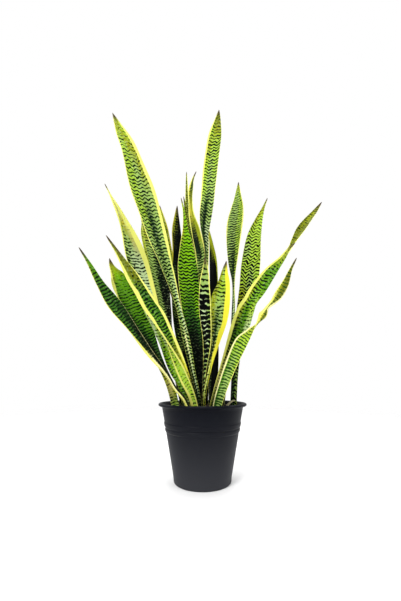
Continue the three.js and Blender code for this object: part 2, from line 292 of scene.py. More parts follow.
def mesh_object(name: str, points: np.ndarray, faces: list[tuple[int, ...]],
                material: bpy.types.Material) -> bpy.types.Object:
    """Makes a smooth-shaded mesh object at the origin.

    Args:
        name: The object's name.
        points: One row of x, y, z for each corner, in millimetres.
        faces: Corner numbers of each face, seen anticlockwise from outside.
        material: The mesh's only material.

    Returns:
        The new object, linked to the scene.
    """
    mesh = bpy.data.meshes.new(name)
    mesh.from_pydata((points * MM).tolist(), [], faces)
    mesh.polygons.foreach_set("use_smooth", [True] * len(mesh.polygons))
    mesh.materials.append(material)
    mesh.update()
    made = bpy.data.objects.new(name, mesh)
    bpy.context.scene.collection.objects.link(made)
    return made


def hand_over(piece: bpy.types.Object, node: str, slot: str) -> None:
    """Puts a finished piece on the part's body, in place of its node.

    Args:
        piece: The finished piece.
        node: The node that it stands for.
        slot: The material slot of its node; not used.
    """
    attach(piece, BODY)
    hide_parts(node)
    LOG.info("%s: %d faces", piece.name, len(piece.data.polygons))


def spun(outline: np.ndarray, sides: int) -> tuple[np.ndarray, list[tuple[int, ...]]]:
    """Spins an outline about Z.

    Args:
        outline: Rows of radius and height. The first and the last lie on the axis, and the
            outline runs so that the outside is on its right.
        sides: How many sides the round has.

    Returns:
        The points and the faces of the closed solid.
    """
    rings = outline[1:-1]
    angles = np.arange(sides) * 2.0 * math.pi / sides
    round_x, round_y = np.cos(angles), np.sin(angles)
    points = [(0.0, 0.0, outline[0][1])]
    for radius, height in rings:
        points.extend(zip(radius * round_x, radius * round_y, np.full(sides, height)))
    points.append((0.0, 0.0, outline[-1][1]))
    faces: list[tuple[int, ...]] = []
    last = len(points) - 1
    for k in range(sides):
        after = (k + 1) % sides
        faces.append((0, 1 + after, 1 + k))
        for ring in range(len(rings) - 1):
            low, high = 1 + ring * sides, 1 + (ring + 1) * sides
            faces.append((low + k, low + after, high + after, high + k))
        top = 1 + (len(rings) - 1) * sides
        faces.append((top + k, top + after, last))
    return np.array(points), faces


# ---- Finishes ----

# In every finish a GRAIN is how fine a noise is, for each metre, and a RANGE is where a mask
# starts and where it is full. Strengths, shares and roughness run from 0 to 1.


class Tint(Enum):
    """The colours of the leaves, as screen colours; INK, DEEP, OLIVE and GOLD also paint shade."""

    OLIVE = (142, 152, 24)
    KHAKI = (102, 110, 18)
    STRAW = (178, 172, 92)
    LIME = (156, 192, 52)
    FRESH = (116, 172, 14)
    GRASS = (82, 136, 18)
    GREEN = (54, 104, 22)
    SAGE = (148, 180, 88)
    SILVER = (188, 210, 154)
    MOSS = (34, 68, 22)
    DEEP = (10, 27, 11)
    INK = (4, 6, 5)
    CREAM = (234, 230, 158)
    LEMON = (230, 230, 116)
    YELLOW = (232, 224, 64)
    GOLD = (186, 176, 54)
    BROWN = (66, 48, 44)


class Weave(Enum):
    """How the dark bands cross a blade.

    Each value is the bands' pitch in millimetres, the rise of their zigzag as a share of
    the pitch, the width of one tooth in millimetres, and how much flecks break the bands.
    """

    FINE_WAVES = (9.6, 0.5, 18.0, 0.3)
    DASHES = (10.0, 0.3, 20.0, 0.4)
    CHEVRONS = (12.4, 0.8, 22.0, 0.12)
    WAVES = (9.4, 0.45, 15.0, 0.15)
    BARS = (8.2, 0.2, 24.0, 0.35)
    FLECKS = (9.0, 0.3, 22.0, 0.5)
    BOLD_BARS = (12.5, 0.2, 17.0, 0.3)


@dataclass(frozen=True)
class Zone:
    """How a blade is coloured at one height. Colours run smoothly from zone to zone.

    Attributes:
        height: Height above the floor, in millimetres.
        tints: Colours between the bands: left of the core, in the core and right of it. Dark ones
            paint shade on low stalks and on a blade's shaded half; pale ones beside them its lit
            half.
        bands: Share that the dark bands cover in each of the three.
        margins: Widths of the left and the right margin, in millimetres.
    """

    height: float
    tints: tuple[Tint, Tint, Tint]
    bands: tuple[float, float, float]
    margins: tuple[float, float]


def even_zone(height: float, tint: Tint, share: float, margins: tuple[float, float]) -> Zone:
    """A zone with one colour and one share of bands all across."""
    return Zone(height, (tint,) * 3, (share,) * 3, margins)


@dataclass(frozen=True)
class LeafFinish:
    """The variegation of one leaf, with the shade and light painted on it.

    Attributes:
        weave: How the dark bands cross the blade.
        zones: Its colours, lowest first, with painted shade and light among them.
        core: Where the core starts and ends, from -1 at the left edge to 1 at the right.
        dark: Colour of the bands.
        margins: Colours of the left and the right margin; OLIVE and GOLD paint a yellow margin in
            shade.
        silver: How strongly silver flecks show between the bands.
    """

    weave: Weave
    zones: tuple[Zone, ...]
    core: tuple[float, float] = (-0.35, 0.35)
    dark: Tint = Tint.DEEP
    margins: tuple[Tint, Tint] = (Tint.LEMON, Tint.LEMON)
    silver: float = 0.3

    CORE_SOFTNESS = 0.22
    CORE_WANDER = 0.3
    CORE_GRAIN = 40.0

    BAND_SOFTNESS = 0.1
    BAND_DRIFT = 1.6
    DRIFT_GRAIN = 9.0
    BAND_WARP = 1.3
    WARP_GRAIN = 60.0
    BREAK_GRAIN = 150.0
    BREAK_RANGE = (0.3, 0.7)

    EDGE_SOFTNESS = 0.6 * MM
    WIDEST_MARGIN = 20.0
    MARGIN_REACH = 0.9
    MARGIN_LEAST = 0.75
    MARGIN_WANDER = 0.5
    MARGIN_GRAIN = 25.0
    BAND_BITE = 0.5 * MM

    SILVER_GRAIN = 190.0
    SILVER_RANGE = (0.5, 0.66)
    TIP_LENGTH = 22.0 * MM
    TIP_FADE = 0.2
    TIP_STRENGTH = 0.9

    SPECULAR = 0.02
    FIBRE_GRAIN = (1400.0, 60.0)
    ROUGHNESS = 0.34
    FIBRE_ROUGHNESS = 0.12
    BAND_ROUGHNESS = 0.08
    RELIEF_SHARES = (0.6, 0.25, 0.15)
    RELIEF_DEPTH = 0.35 * MM
    RELIEF_STRENGTH = 0.6

    def material(self, name: str, seed: float) -> bpy.types.Material:
        """Builds the leaf's material.

        Args:
            name: The material's name.
            seed: Sets this leaf's pattern apart from the others'.

        Returns:
            The material.
        """
        material, graph, shader = new_surface(name, {"Specular IOR Level": self.SPECULAR})
        data = graph.wire("ShaderNodeAttribute", {"attribute_name": BLADE_DATA}, {}, "Vector")
        across, along, half = graph.separate(data)
        grain = graph.combine(across, along, seed)
        height = graph.separate(graph.place())[2]
        parts = self._parts(graph, across / half, grain)
        colour, cover, widths = self._zone_wires(graph, height, parts)

        wave, flecks = self._bands(graph, grain, across, along)
        ink = graph.step(wave, 1 - cover - self.BAND_SOFTNESS, 1 - cover + self.BAND_SOFTNESS)
        light = graph.step(graph.noise(grain, self.SILVER_GRAIN), *self.SILVER_RANGE) * (1 - ink)
        colour = graph.mix(light * self.silver, colour, linear(Tint.SILVER.value))
        colour = graph.mix(ink, colour, linear(self.dark.value))

        for tint, edge, width in zip(self.margins, (half + across, half - across), widths):
            margin = self._margin(graph, edge, half, width, grain, wave)
            colour = graph.mix(margin, colour, linear(tint.value))

        top = self.zones[-1].height * MM
        tip = graph.step(height, top - self.TIP_LENGTH, top - self.TIP_FADE * self.TIP_LENGTH)
        colour = graph.mix(tip * self.TIP_STRENGTH, colour, linear(Tint.BROWN.value))

        fine, long = self.FIBRE_GRAIN
        fibres = graph.noise(graph.combine(across * fine, along * long, seed), 1.0)
        by_fibre, by_ink, by_fleck = self.RELIEF_SHARES
        relief = fibres * by_fibre + ink * by_ink + flecks * by_fleck
        feed(graph, shader, {
            "Base Color": colour,
            "Roughness": self.ROUGHNESS + self.FIBRE_ROUGHNESS * fibres + self.BAND_ROUGHNESS * ink,
            "Normal": graph.bump(relief, self.RELIEF_DEPTH, self.RELIEF_STRENGTH),
        })
        return material

    def _parts(self, graph: Graph, place: Wire, grain: Wire) -> tuple[Wire, Wire]:
        """Finds the blade's core.

        Args:
            graph: The material's graph.
            place: Place across the blade, from -1 to 1.
            grain: Place on the blade, apart from other leaves'.

        Returns:
            How far a point has passed the core's left and its right side, from 0 to 1.
        """
        moved = place + self.CORE_WANDER * (graph.noise(grain, self.CORE_GRAIN) - 0.5)
        soft = self.CORE_SOFTNESS
        left, right = (graph.step(moved, side - soft, side + soft) for side in self.core)
        return left, right

    def _zone_wires(self, graph: Graph, height: Wire,
                    parts: tuple[Wire, Wire]) -> tuple[Wire, Wire, tuple[Wire, Wire]]:
        """Reads the zones at a height.

        Args:
            graph: The material's graph.
            height: Height above the floor, in metres.
            parts: How far a point has passed the core's left and its right side.

        Returns:
            The colour between the bands, the bands' cover and both margins' widths in metres.
        """
        low, high = self.zones[0].height, self.zones[-1].height
        place = graph.share(height, low * MM, high * MM)
        spots = [(zone.height - low) / (high - low) for zone in self.zones]

        def ramp(values: list[tuple]) -> Wire:
            """A ramp of one value for each zone."""
            return graph.wire("ShaderNodeValToRGB", {"stops": list(zip(spots, values))}, {0: place})

        tints = [ramp([linear(zone.tints[k].value) for zone in self.zones]) for k in range(3)]
        covers = graph.separate(ramp([(*zone.bands, 1.0) for zone in self.zones]))
        widest = self.WIDEST_MARGIN
        widths = graph.separate(ramp([(zone.margins[0] / widest, zone.margins[1] / widest, 0.0, 1.0)
                                      for zone in self.zones]))
        colour = graph.mix(parts[1], graph.mix(parts[0], tints[0], tints[1]), tints[2])
        cover = covers[0] + (covers[1] - covers[0]) * parts[0] + (covers[2] - covers[1]) * parts[1]
        return colour, cover, (widths[0] * (widest * MM), widths[1] * (widest * MM))

    def _bands(self, graph: Graph, grain: Wire, across: Wire, along: Wire) -> tuple[Wire, Wire]:
        """Draws the dark bands.

        Args:
            graph: The material's graph.
            grain: Place on the blade, apart from other leaves'.
            across: Distance from the blade's middle, in metres.
            along: Distance from its foot, in metres.

        Returns:
            The bands, from 0 between them to 1 in them, and the flecks alone.
        """
        pitch, rise, tooth, broken = self.weave.value
        stretched = graph.combine(across * 0.3, along, along)
        drift = graph.noise(stretched, self.DRIFT_GRAIN, 1.0) * self.BAND_DRIFT
        zigzag = graph.math("PINGPONG", across / (tooth * MM) + drift, 0.5) * 2.0
        warp = graph.noise(grain, self.WARP_GRAIN) * self.BAND_WARP
        phase = along / (pitch * MM) + rise * zigzag + warp
        wave = 0.5 + 0.5 * graph.math("SINE", phase * math.tau)
        flecks = graph.share(graph.noise(grain, self.BREAK_GRAIN, 1.0), *self.BREAK_RANGE)
        return wave * (1.0 - broken) + flecks * broken, flecks

    def _margin(self, graph: Graph, edge: Wire, half: Wire, width: Wire, grain: Wire,
                wave: Wire) -> Wire:
        """Draws one margin.

        Args:
            graph: The material's graph.
            edge: Distance from that edge, in metres.
            half: Half the blade's width, in metres.
            width: The margin's width, in metres.
            grain: Place on the blade, apart from other leaves'.
            wave: The bands, which bite a little into the margin.

        Returns:
            1 on the margin, 0 off it.
        """
        wander = self.MARGIN_LEAST + self.MARGIN_WANDER * graph.noise(grain, self.MARGIN_GRAIN, 1.0)
        reach = graph.math("MINIMUM", wander * width, half * self.MARGIN_REACH)
        reach = reach - wave * self.BAND_BITE
        return 1 - graph.step(edge, reach - self.EDGE_SOFTNESS, reach + self.EDGE_SOFTNESS)


@dataclass(frozen=True)
class PotCoat:
    """Matt charcoal powder coat on pressed metal.

    Attributes:
        coat: Its colour at the rim, darkest there as painted shade under the rim and the leaves.
        floor_lit_foot: Its paler colour at the foot, painted light from the white floor.
        rubbed: Colour where hands have rubbed it, on the rim, and of the specks in it.
    """

    coat: Colour = (4, 6, 15)
    floor_lit_foot: Colour = (52, 53, 57)
    rubbed: Colour = (60, 62, 66)

    SPECULAR = 0.07
    CLOUD_GRAIN = 14.0
    CLOUD_RANGE = (0.42, 0.7)
    PEEL_GRAIN = 1500.0
    PEEL_DEPTH = 0.12 * MM
    PEEL_STRENGTH = 0.35
    SPECK_GRAIN = 320.0
    SPECK_RANGE = (0.68, 0.74)
    SPECK_STRENGTH = 0.08
    RUB_DEPTHS = (6.0 * MM, 1.0 * MM)
    RUB_STRENGTH = 0.6
    PAINTED_LIGHT_CURVE = 1.5
    ROUGHNESS = 0.42
    CLOUD_ROUGHNESS = 0.1
    PEEL_ROUGHNESS = 0.06

    def material(self, rim: float) -> bpy.types.Material:
        """Builds the coat's material.

        Args:
            rim: Height of the rim's top, in metres.

        Returns:
            The material.
        """
        constants = {"Metallic": 0.0, "Specular IOR Level": self.SPECULAR}
        material, graph, shader = new_surface("pot_coat", constants)
        place = graph.place()
        height = graph.separate(place)[2]
        cloud = graph.noise(place, self.CLOUD_GRAIN, 3.0)
        peel = graph.noise(place, self.PEEL_GRAIN, 1.0)
        specks = graph.step(graph.noise(place, self.SPECK_GRAIN), *self.SPECK_RANGE)
        start, full = self.RUB_DEPTHS
        rim_rub = graph.step(height, rim - start, rim - full)
        rub = rim_rub * graph.step(cloud, *self.CLOUD_RANGE) * self.RUB_STRENGTH
        rub = rub + specks * self.SPECK_STRENGTH
        # Painted shade and light: the coat is darkest at the rim, where the rim and the leaves
        # shade it, and paler towards the foot, where the floor lights it.
        painted_light_share = graph.math("POWER", 1 - graph.share(height, 0.0, rim), self.PAINTED_LIGHT_CURVE)
        colour = graph.mix(painted_light_share, linear(self.coat), linear(self.floor_lit_foot))
        colour = graph.mix(rub, colour, linear(self.rubbed))
        feed(graph, shader, {
            "Base Color": colour,
            "Roughness": self.ROUGHNESS + self.CLOUD_ROUGHNESS * cloud + self.PEEL_ROUGHNESS * peel,
            "Normal": graph.bump(peel, self.PEEL_DEPTH, self.PEEL_STRENGTH),
        })
        return material


@dataclass(frozen=True)
class SoilFinish:
    """Dark potting mix with a few pale fibres.

    Attributes:
        damp: Colour of the damp mix.
        dry: Colour of its dry crumbs.
        fibre: Colour of the fibres.
    """

    damp: Colour = (26, 20, 16)
    dry: Colour = (74, 56, 42)
    fibre: Colour = (128, 104, 74)

    SPECULAR = 0.2
    CLUMP_GRAIN = 120.0
    CLUMP_RANGE = (0.4, 0.75)
    GRIT_GRAIN = 900.0
    GRIT_DEPTH = 0.8 * MM
    FIBRE_GRAIN = 260.0
    FIBRE_RANGE = (0.7, 0.76)
    FIBRE_STRENGTH = 0.5
    ROUGHNESS = 0.85
    GRIT_ROUGHNESS = 0.12

    def material(self) -> bpy.types.Material:
        """Builds the soil's material."""
        material, graph, shader = new_surface("potting_mix", {"Specular IOR Level": self.SPECULAR})
        place = graph.place()
        clumps = graph.noise(place, self.CLUMP_GRAIN, 3.0)
        grit = graph.noise(place, self.GRIT_GRAIN)
        fibres = graph.step(graph.noise(place, self.FIBRE_GRAIN, 1.0), *self.FIBRE_RANGE)
        dried = graph.step(clumps, *self.CLUMP_RANGE)
        colour = graph.mix(dried, linear(self.damp), linear(self.dry))
        colour = graph.mix(fibres * self.FIBRE_STRENGTH, colour, linear(self.fibre))
        feed(graph, shader, {
            "Base Color": colour,
            "Roughness": self.ROUGHNESS + self.GRIT_ROUGHNESS * grit,
            "Normal": graph.bump(grit, self.GRIT_DEPTH),
        })
        return material


@dataclass(frozen=True)
class DryFinish:
    """A dry, papery leaf sheath.

    Attributes:
        pale: Its main colour.
        stain: Colour of its darker streaks.
    """

    pale: Colour = (206, 198, 160)
    stain: Colour = (128, 112, 74)

    SPECULAR = 0.2
    STREAK_GRAIN = (1200.0, 60.0)
    STREAK_RANGE = (0.42, 0.7)
    STREAK_DEPTH = 0.4 * MM
    ROUGHNESS = 0.7
    STREAK_ROUGHNESS = 0.2

    def material(self) -> bpy.types.Material:
        """Builds the sheath's material."""
        material, graph, shader = new_surface("dry_sheath", {"Specular IOR Level": self.SPECULAR})
        data = graph.wire("ShaderNodeAttribute", {"attribute_name": BLADE_DATA}, {}, "Vector")
        across, along, _ = graph.separate(data)
        fine, long = self.STREAK_GRAIN
        streaks = graph.noise(graph.combine(across * fine, along * long, 0.0), 1.0, 3.0)
        stained = graph.step(streaks, *self.STREAK_RANGE)
        colour = graph.mix(stained, linear(self.pale), linear(self.stain))
        feed(graph, shader, {
            "Base Color": colour,
            "Roughness": self.ROUGHNESS + self.STREAK_ROUGHNESS * streaks,
            "Normal": graph.bump(streaks, self.STREAK_DEPTH),
        })
        return material


# ---- Pot ----


@dataclass
class Pot:
    """The tapered pot, with a rolled rim and two pressed ribs. Sizes are in millimetres."""

    coat: PotCoat = field(default_factory=PotCoat)
    bead_radius: float = 4.4
    neck_radius: float = 124.2
    neck_height: float = 231.0
    skirt_radius: float = 90.5
    skirt_height: float = 20.0
    foot_radius: float = 89.0
    foot_edge: float = 3.5
    wall: float = 1.6
    groove_depth: float = 0.3
    rib_standout: float = 1.9
    rib_slope: float = 4.5
    rib_heights: tuple[float, float, float, float] = (149.0, 154.0, 169.0, 187.0)
    sides: int = 176

    FOOT_STATIONS = 7
    SKIRT_STATIONS = 16
    RIB_STATIONS = 60
    NECK_STATIONS = 8
    BEAD_STATIONS = 25
    BEAD_TURN = (-90.0, 150.0)
    MOUTH_STEPS = ((2.0, 6.4), (0.8, 4.0), (0.0, 0.0))

    def __post_init__(self) -> None:
        """Reads the height and the rim's radius from the frame."""
        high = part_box("pot")[1]
        self.height = high.z / MM
        self.rim_radius = high.x / MM

    def wall_radius(self, height: np.ndarray) -> np.ndarray:
        """Outer radius of the plain tapered wall at some heights."""
        share = (height - self.skirt_height) / (self.neck_height - self.skirt_height)
        return self.skirt_radius + (self.neck_radius - self.skirt_radius) * share

    def ribs(self, height: np.ndarray) -> np.ndarray:
        """How far the ribs stand out of the wall, or their grooves sink in, at some heights."""
        bottom, lower, middle, top = self.rib_heights
        slope, out, groove = self.rib_slope, self.rib_standout, -self.groove_depth
        stations = (bottom, lower, lower + slope, middle - slope, middle, middle + slope,
                    top - slope, top)
        levels = (0.0, groove, out, out, groove, out, out, 0.0)
        total = np.zeros_like(height)
        for k in range(len(stations) - 1):
            share = np.clip((height - stations[k]) / (stations[k + 1] - stations[k]), 0.0, 1.0)
            total += (levels[k + 1] - levels[k]) * share * share * (3.0 - 2.0 * share)
        return total

    def outline(self) -> np.ndarray:
        """The pot's section, from the middle of its underside up and back down inside."""
        turn = np.radians(np.linspace(-90.0, 0.0, self.FOOT_STATIONS))
        foot = np.column_stack((self.foot_radius - self.foot_edge + self.foot_edge * np.cos(turn),
                                self.foot_edge + self.foot_edge * np.sin(turn)))
        rib_foot, rib_top = self.rib_heights[0], self.rib_heights[3]
        plain = np.linspace(self.skirt_height, rib_foot, self.SKIRT_STATIONS, endpoint=False)
        ribbed = np.linspace(rib_foot, rib_top, self.RIB_STATIONS, endpoint=False)
        upper = np.linspace(rib_top, self.neck_height, self.NECK_STATIONS)
        heights = np.concatenate((plain, ribbed, upper))
        outside = np.column_stack((self.wall_radius(heights) + self.ribs(heights), heights))
        turn = np.radians(np.linspace(*self.BEAD_TURN, self.BEAD_STATIONS))
        radius = self.bead_radius
        bead = np.column_stack((self.rim_radius - radius + radius * np.cos(turn),
                                self.height - radius + radius * np.sin(turn)))
        inner = self.neck_radius - self.wall
        mouth = [(inner + out, self.neck_height + up) for out, up in self.MOUTH_STEPS]
        inside = ((self.skirt_radius - self.wall, self.skirt_height),
                  (self.foot_radius - self.wall, self.wall))
        return np.vstack(((0.0, 0.0), foot, outside, bead, mouth, inside, (0.0, self.wall)))

    def build(self) -> bpy.types.Object:
        """Spins the pot, coats it and hands it over."""
        points, faces = spun(self.outline(), self.sides)
        piece = mesh_object("pot_shell", points, faces, self.coat.material(self.height * MM))
        hand_over(piece, "pot", "pot_metal")
        return piece


# ---- Soil ----


@dataclass
class Soil:
    """The potting soil, with loose crumbs over its top. Sizes are in millimetres."""

    finish: SoilFinish = field(default_factory=SoilFinish)
    shoulder: tuple[float, float] = (0.55, 0.8)
    crown: float = 3.0
    rings: int = 26
    sides: int = 120
    roughness: float = 1.3
    crumb_size: float = 1.6
    crumb_density: float = 70000.0
    lump_size: float = 3.1
    lump_density: float = 9000.0
    wall_gap: float = 4.0
    seed: int = 11

    FOOT_SHARE = 0.64
    RING_CROWDING = 0.8
    ROUGH_ABOVE = 0.2
    UPWARD = 0.5
    CRUMB_DENTS = 1.1
    LEAST_STRETCH = (0.45, 0.45, 0.35)
    MOST_STRETCH = (1.5, 1.2, 1.0)

    def __post_init__(self) -> None:
        """Reads the soil's reach and levels from the frame."""
        low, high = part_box("soil")
        self.bottom = low.z / MM
        self.radius = high.x / MM
        self.level = high.z / MM - self.crown

    def bed(self) -> tuple[np.ndarray, list[tuple[int, ...]]]:
        """The soil's closed body, with a slightly uneven crowned top.

        Returns:
            Its points and faces.
        """
        draw = np.random.default_rng(self.seed)
        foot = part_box("pot")[1].x / MM * self.FOOT_SHARE
        reach = np.linspace(1.0, 0.0, self.rings) ** self.RING_CROWDING
        spread, rise = self.shoulder
        heights = np.interp(reach, (0.0, spread, 1.0), (self.crown, self.crown * rise, 0.0))
        top = np.column_stack((reach * self.radius, self.level + heights))
        outline = np.vstack(((0.0, self.bottom), (foot, self.bottom), top))
        points, faces = spun(outline, self.sides)
        upper = points[:, 2] > self.level + self.ROUGH_ABOVE
        points[upper, 2] += draw.uniform(-self.roughness, self.roughness, int(upper.sum()))
        return points, faces

    def crumb_tree(self, material: bpy.types.Material) -> bpy.types.NodeTree:
        """Builds the tree that strews crumbs and lumps over the soil.

        Args:
            material: The soil's material.

        Returns:
            The geometry node tree.
        """
        tree = bpy.data.node_groups.new("soil_crumbs", "GeometryNodeTree")
        graph = Graph(tree)
        tree.interface.new_socket("Geometry", in_out="INPUT", socket_type="NodeSocketGeometry")
        for name in ("Crumb Size", "Crumb Density", "Lump Size", "Lump Density", "Reach"):
            tree.interface.new_socket(name, in_out="INPUT", socket_type="NodeSocketFloat")
        tree.interface.new_socket("Seed", in_out="INPUT", socket_type="NodeSocketInt")
        tree.interface.new_socket("Geometry", in_out="OUTPUT", socket_type="NodeSocketGeometry")
        inputs = graph.node("NodeGroupInput")

        def given(name: str) -> Wire:
            """One of the tree's own inputs."""
            return Wire(graph, inputs.outputs[name])

        position = graph.wire("GeometryNodeInputPosition")
        x, y, _ = graph.separate(position)
        upward = graph.separate(graph.wire("GeometryNodeInputNormal"))[2]
        inside = graph.math("LESS_THAN", graph.math("SQRT", x * x + y * y), given("Reach"))
        chosen = inside * graph.math("GREATER_THAN", upward, self.UPWARD)
        strewn = [given("Geometry")]
        kinds = ((1, "Crumb Size", "Crumb Density"), (2, "Lump Size", "Lump Density"))
        for detail, size, density in kinds:
            strewn.append(self._strewn(graph, given, chosen, detail, size, density))
        joined = graph.node("GeometryNodeJoinGeometry")
        for wire in strewn:
            tree.links.new(wire.socket, joined.inputs[0])
        real = graph.wire("GeometryNodeRealizeInstances", {}, {0: Wire(graph, joined.outputs[0])})
        dressed = graph.wire("GeometryNodeSetMaterial", {},
                             {"Geometry": real, "Material": material})
        graph.node("NodeGroupOutput", {}, {0: dressed})
        return tree

    def _strewn(self, graph: Graph, given: Callable[[str], Wire], chosen: Wire, detail: int,
                size: str, density: str) -> Wire:
        """Strews one size of crumb.

        Args:
            graph: The tree's graph.
            given: Gives the tree's inputs by name.
            chosen: Where crumbs may lie.
            detail: Subdivisions of the crumb's ball.
            size: Name of the input that holds its radius, in metres.
            density: Name of the input that holds their number for each square metre.

        Returns:
            The crumbs as instances.
        """
        seed = given("Seed") + float(detail)
        points = graph.wire("GeometryNodeDistributePointsOnFaces", {"distribute_method": "RANDOM"},
                            {"Mesh": given("Geometry"), "Selection": chosen,
                             "Density": given(density), "Seed": seed})
        ball = graph.wire("GeometryNodeMeshIcoSphere", {}, {"Radius": 1.0, "Subdivisions": detail})
        place = graph.wire("GeometryNodeInputPosition")
        dents = graph.wire("ShaderNodeTexNoise", {},
                           {"Vector": place, "Scale": self.CRUMB_DENTS}, "Color")
        offset = graph.wire("ShaderNodeVectorMath", {"operation": "SUBTRACT"},
                            {0: dents, 1: (0.5, 0.5, 0.5)})
        lumpy = graph.wire("GeometryNodeSetPosition", {}, {"Geometry": ball, "Offset": offset})
        stretch = graph.wire("FunctionNodeRandomValue", {"data_type": "FLOAT_VECTOR"},
                             {0: self.LEAST_STRETCH, 1: self.MOST_STRETCH, "Seed": seed})
        scale = graph.wire("ShaderNodeVectorMath", {"operation": "SCALE"},
                           {0: stretch, "Scale": given(size)})
        turn = graph.wire("FunctionNodeRandomValue", {"data_type": "FLOAT_VECTOR"},
                          {0: (0.0, 0.0, 0.0), 1: (math.tau, math.tau, math.tau), "Seed": seed})
        return graph.wire("GeometryNodeInstanceOnPoints", {},
                          {"Points": points, "Instance": lumpy, "Rotation": turn, "Scale": scale})

    def build(self) -> bpy.types.Object:
        """Makes the soil's body, strews its crumbs and hands it over."""
        material = self.finish.material()
        points, faces = self.bed()
        bed = mesh_object("soil_bed", points, faces, material)
        tree = self.crumb_tree(material)
        modifier = bed.modifiers.new("crumbs", "NODES")
        modifier.node_group = tree
        values = {"Crumb Size": self.crumb_size * MM, "Crumb Density": self.crumb_density,
                  "Lump Size": self.lump_size * MM, "Lump Density": self.lump_density,
                  "Reach": (self.radius - self.wall_gap) * MM, "Seed": self.seed}
        for item in tree.interface.items_tree:
            if item.in_out == "INPUT" and item.name in values:
                modifier[item.identifier] = values[item.name]
        bpy.context.view_layer.update()
        made = bed.evaluated_get(bpy.context.evaluated_depsgraph_get())
        bed.data = bpy.data.meshes.new_from_object(made)
        bed.modifiers.clear()
        bed.data.name = "soil_bed"
        hand_over(bed, "soil", "soil")
        return bed


# ---- Leaves ----


def on_curve(rows: np.ndarray, places: np.ndarray) -> tuple[np.ndarray, np.ndarray]:
    """Points of a uniform Catmull-Rom curve, which runs on straight past its ends.

    Args:
        rows: The points that the curve goes through.
        places: Where to read it, from 0 at the first point to 1 at the last.

    Returns:
        The curve's points, and the way it runs there, not of unit length.
    """
    held = np.vstack((2.0 * rows[0] - rows[1], rows, 2.0 * rows[-1] - rows[-2]))
    scaled = places * (len(rows) - 1)
    index = np.minimum(scaled.astype(int), len(rows) - 2)
    t = (scaled - index)[:, None]
    a, b, c, d = (held[index + k] for k in range(4))
    enter, leave = (c - a) / 2.0, (d - b) / 2.0
    cube, square = 2.0 * b - 2.0 * c + enter + leave, 3.0 * c - 3.0 * b - 2.0 * enter - leave
    points = ((cube * t + square) * t + enter) * t + b
    run = (3.0 * cube * t + 2.0 * square) * t + enter
    return points, run


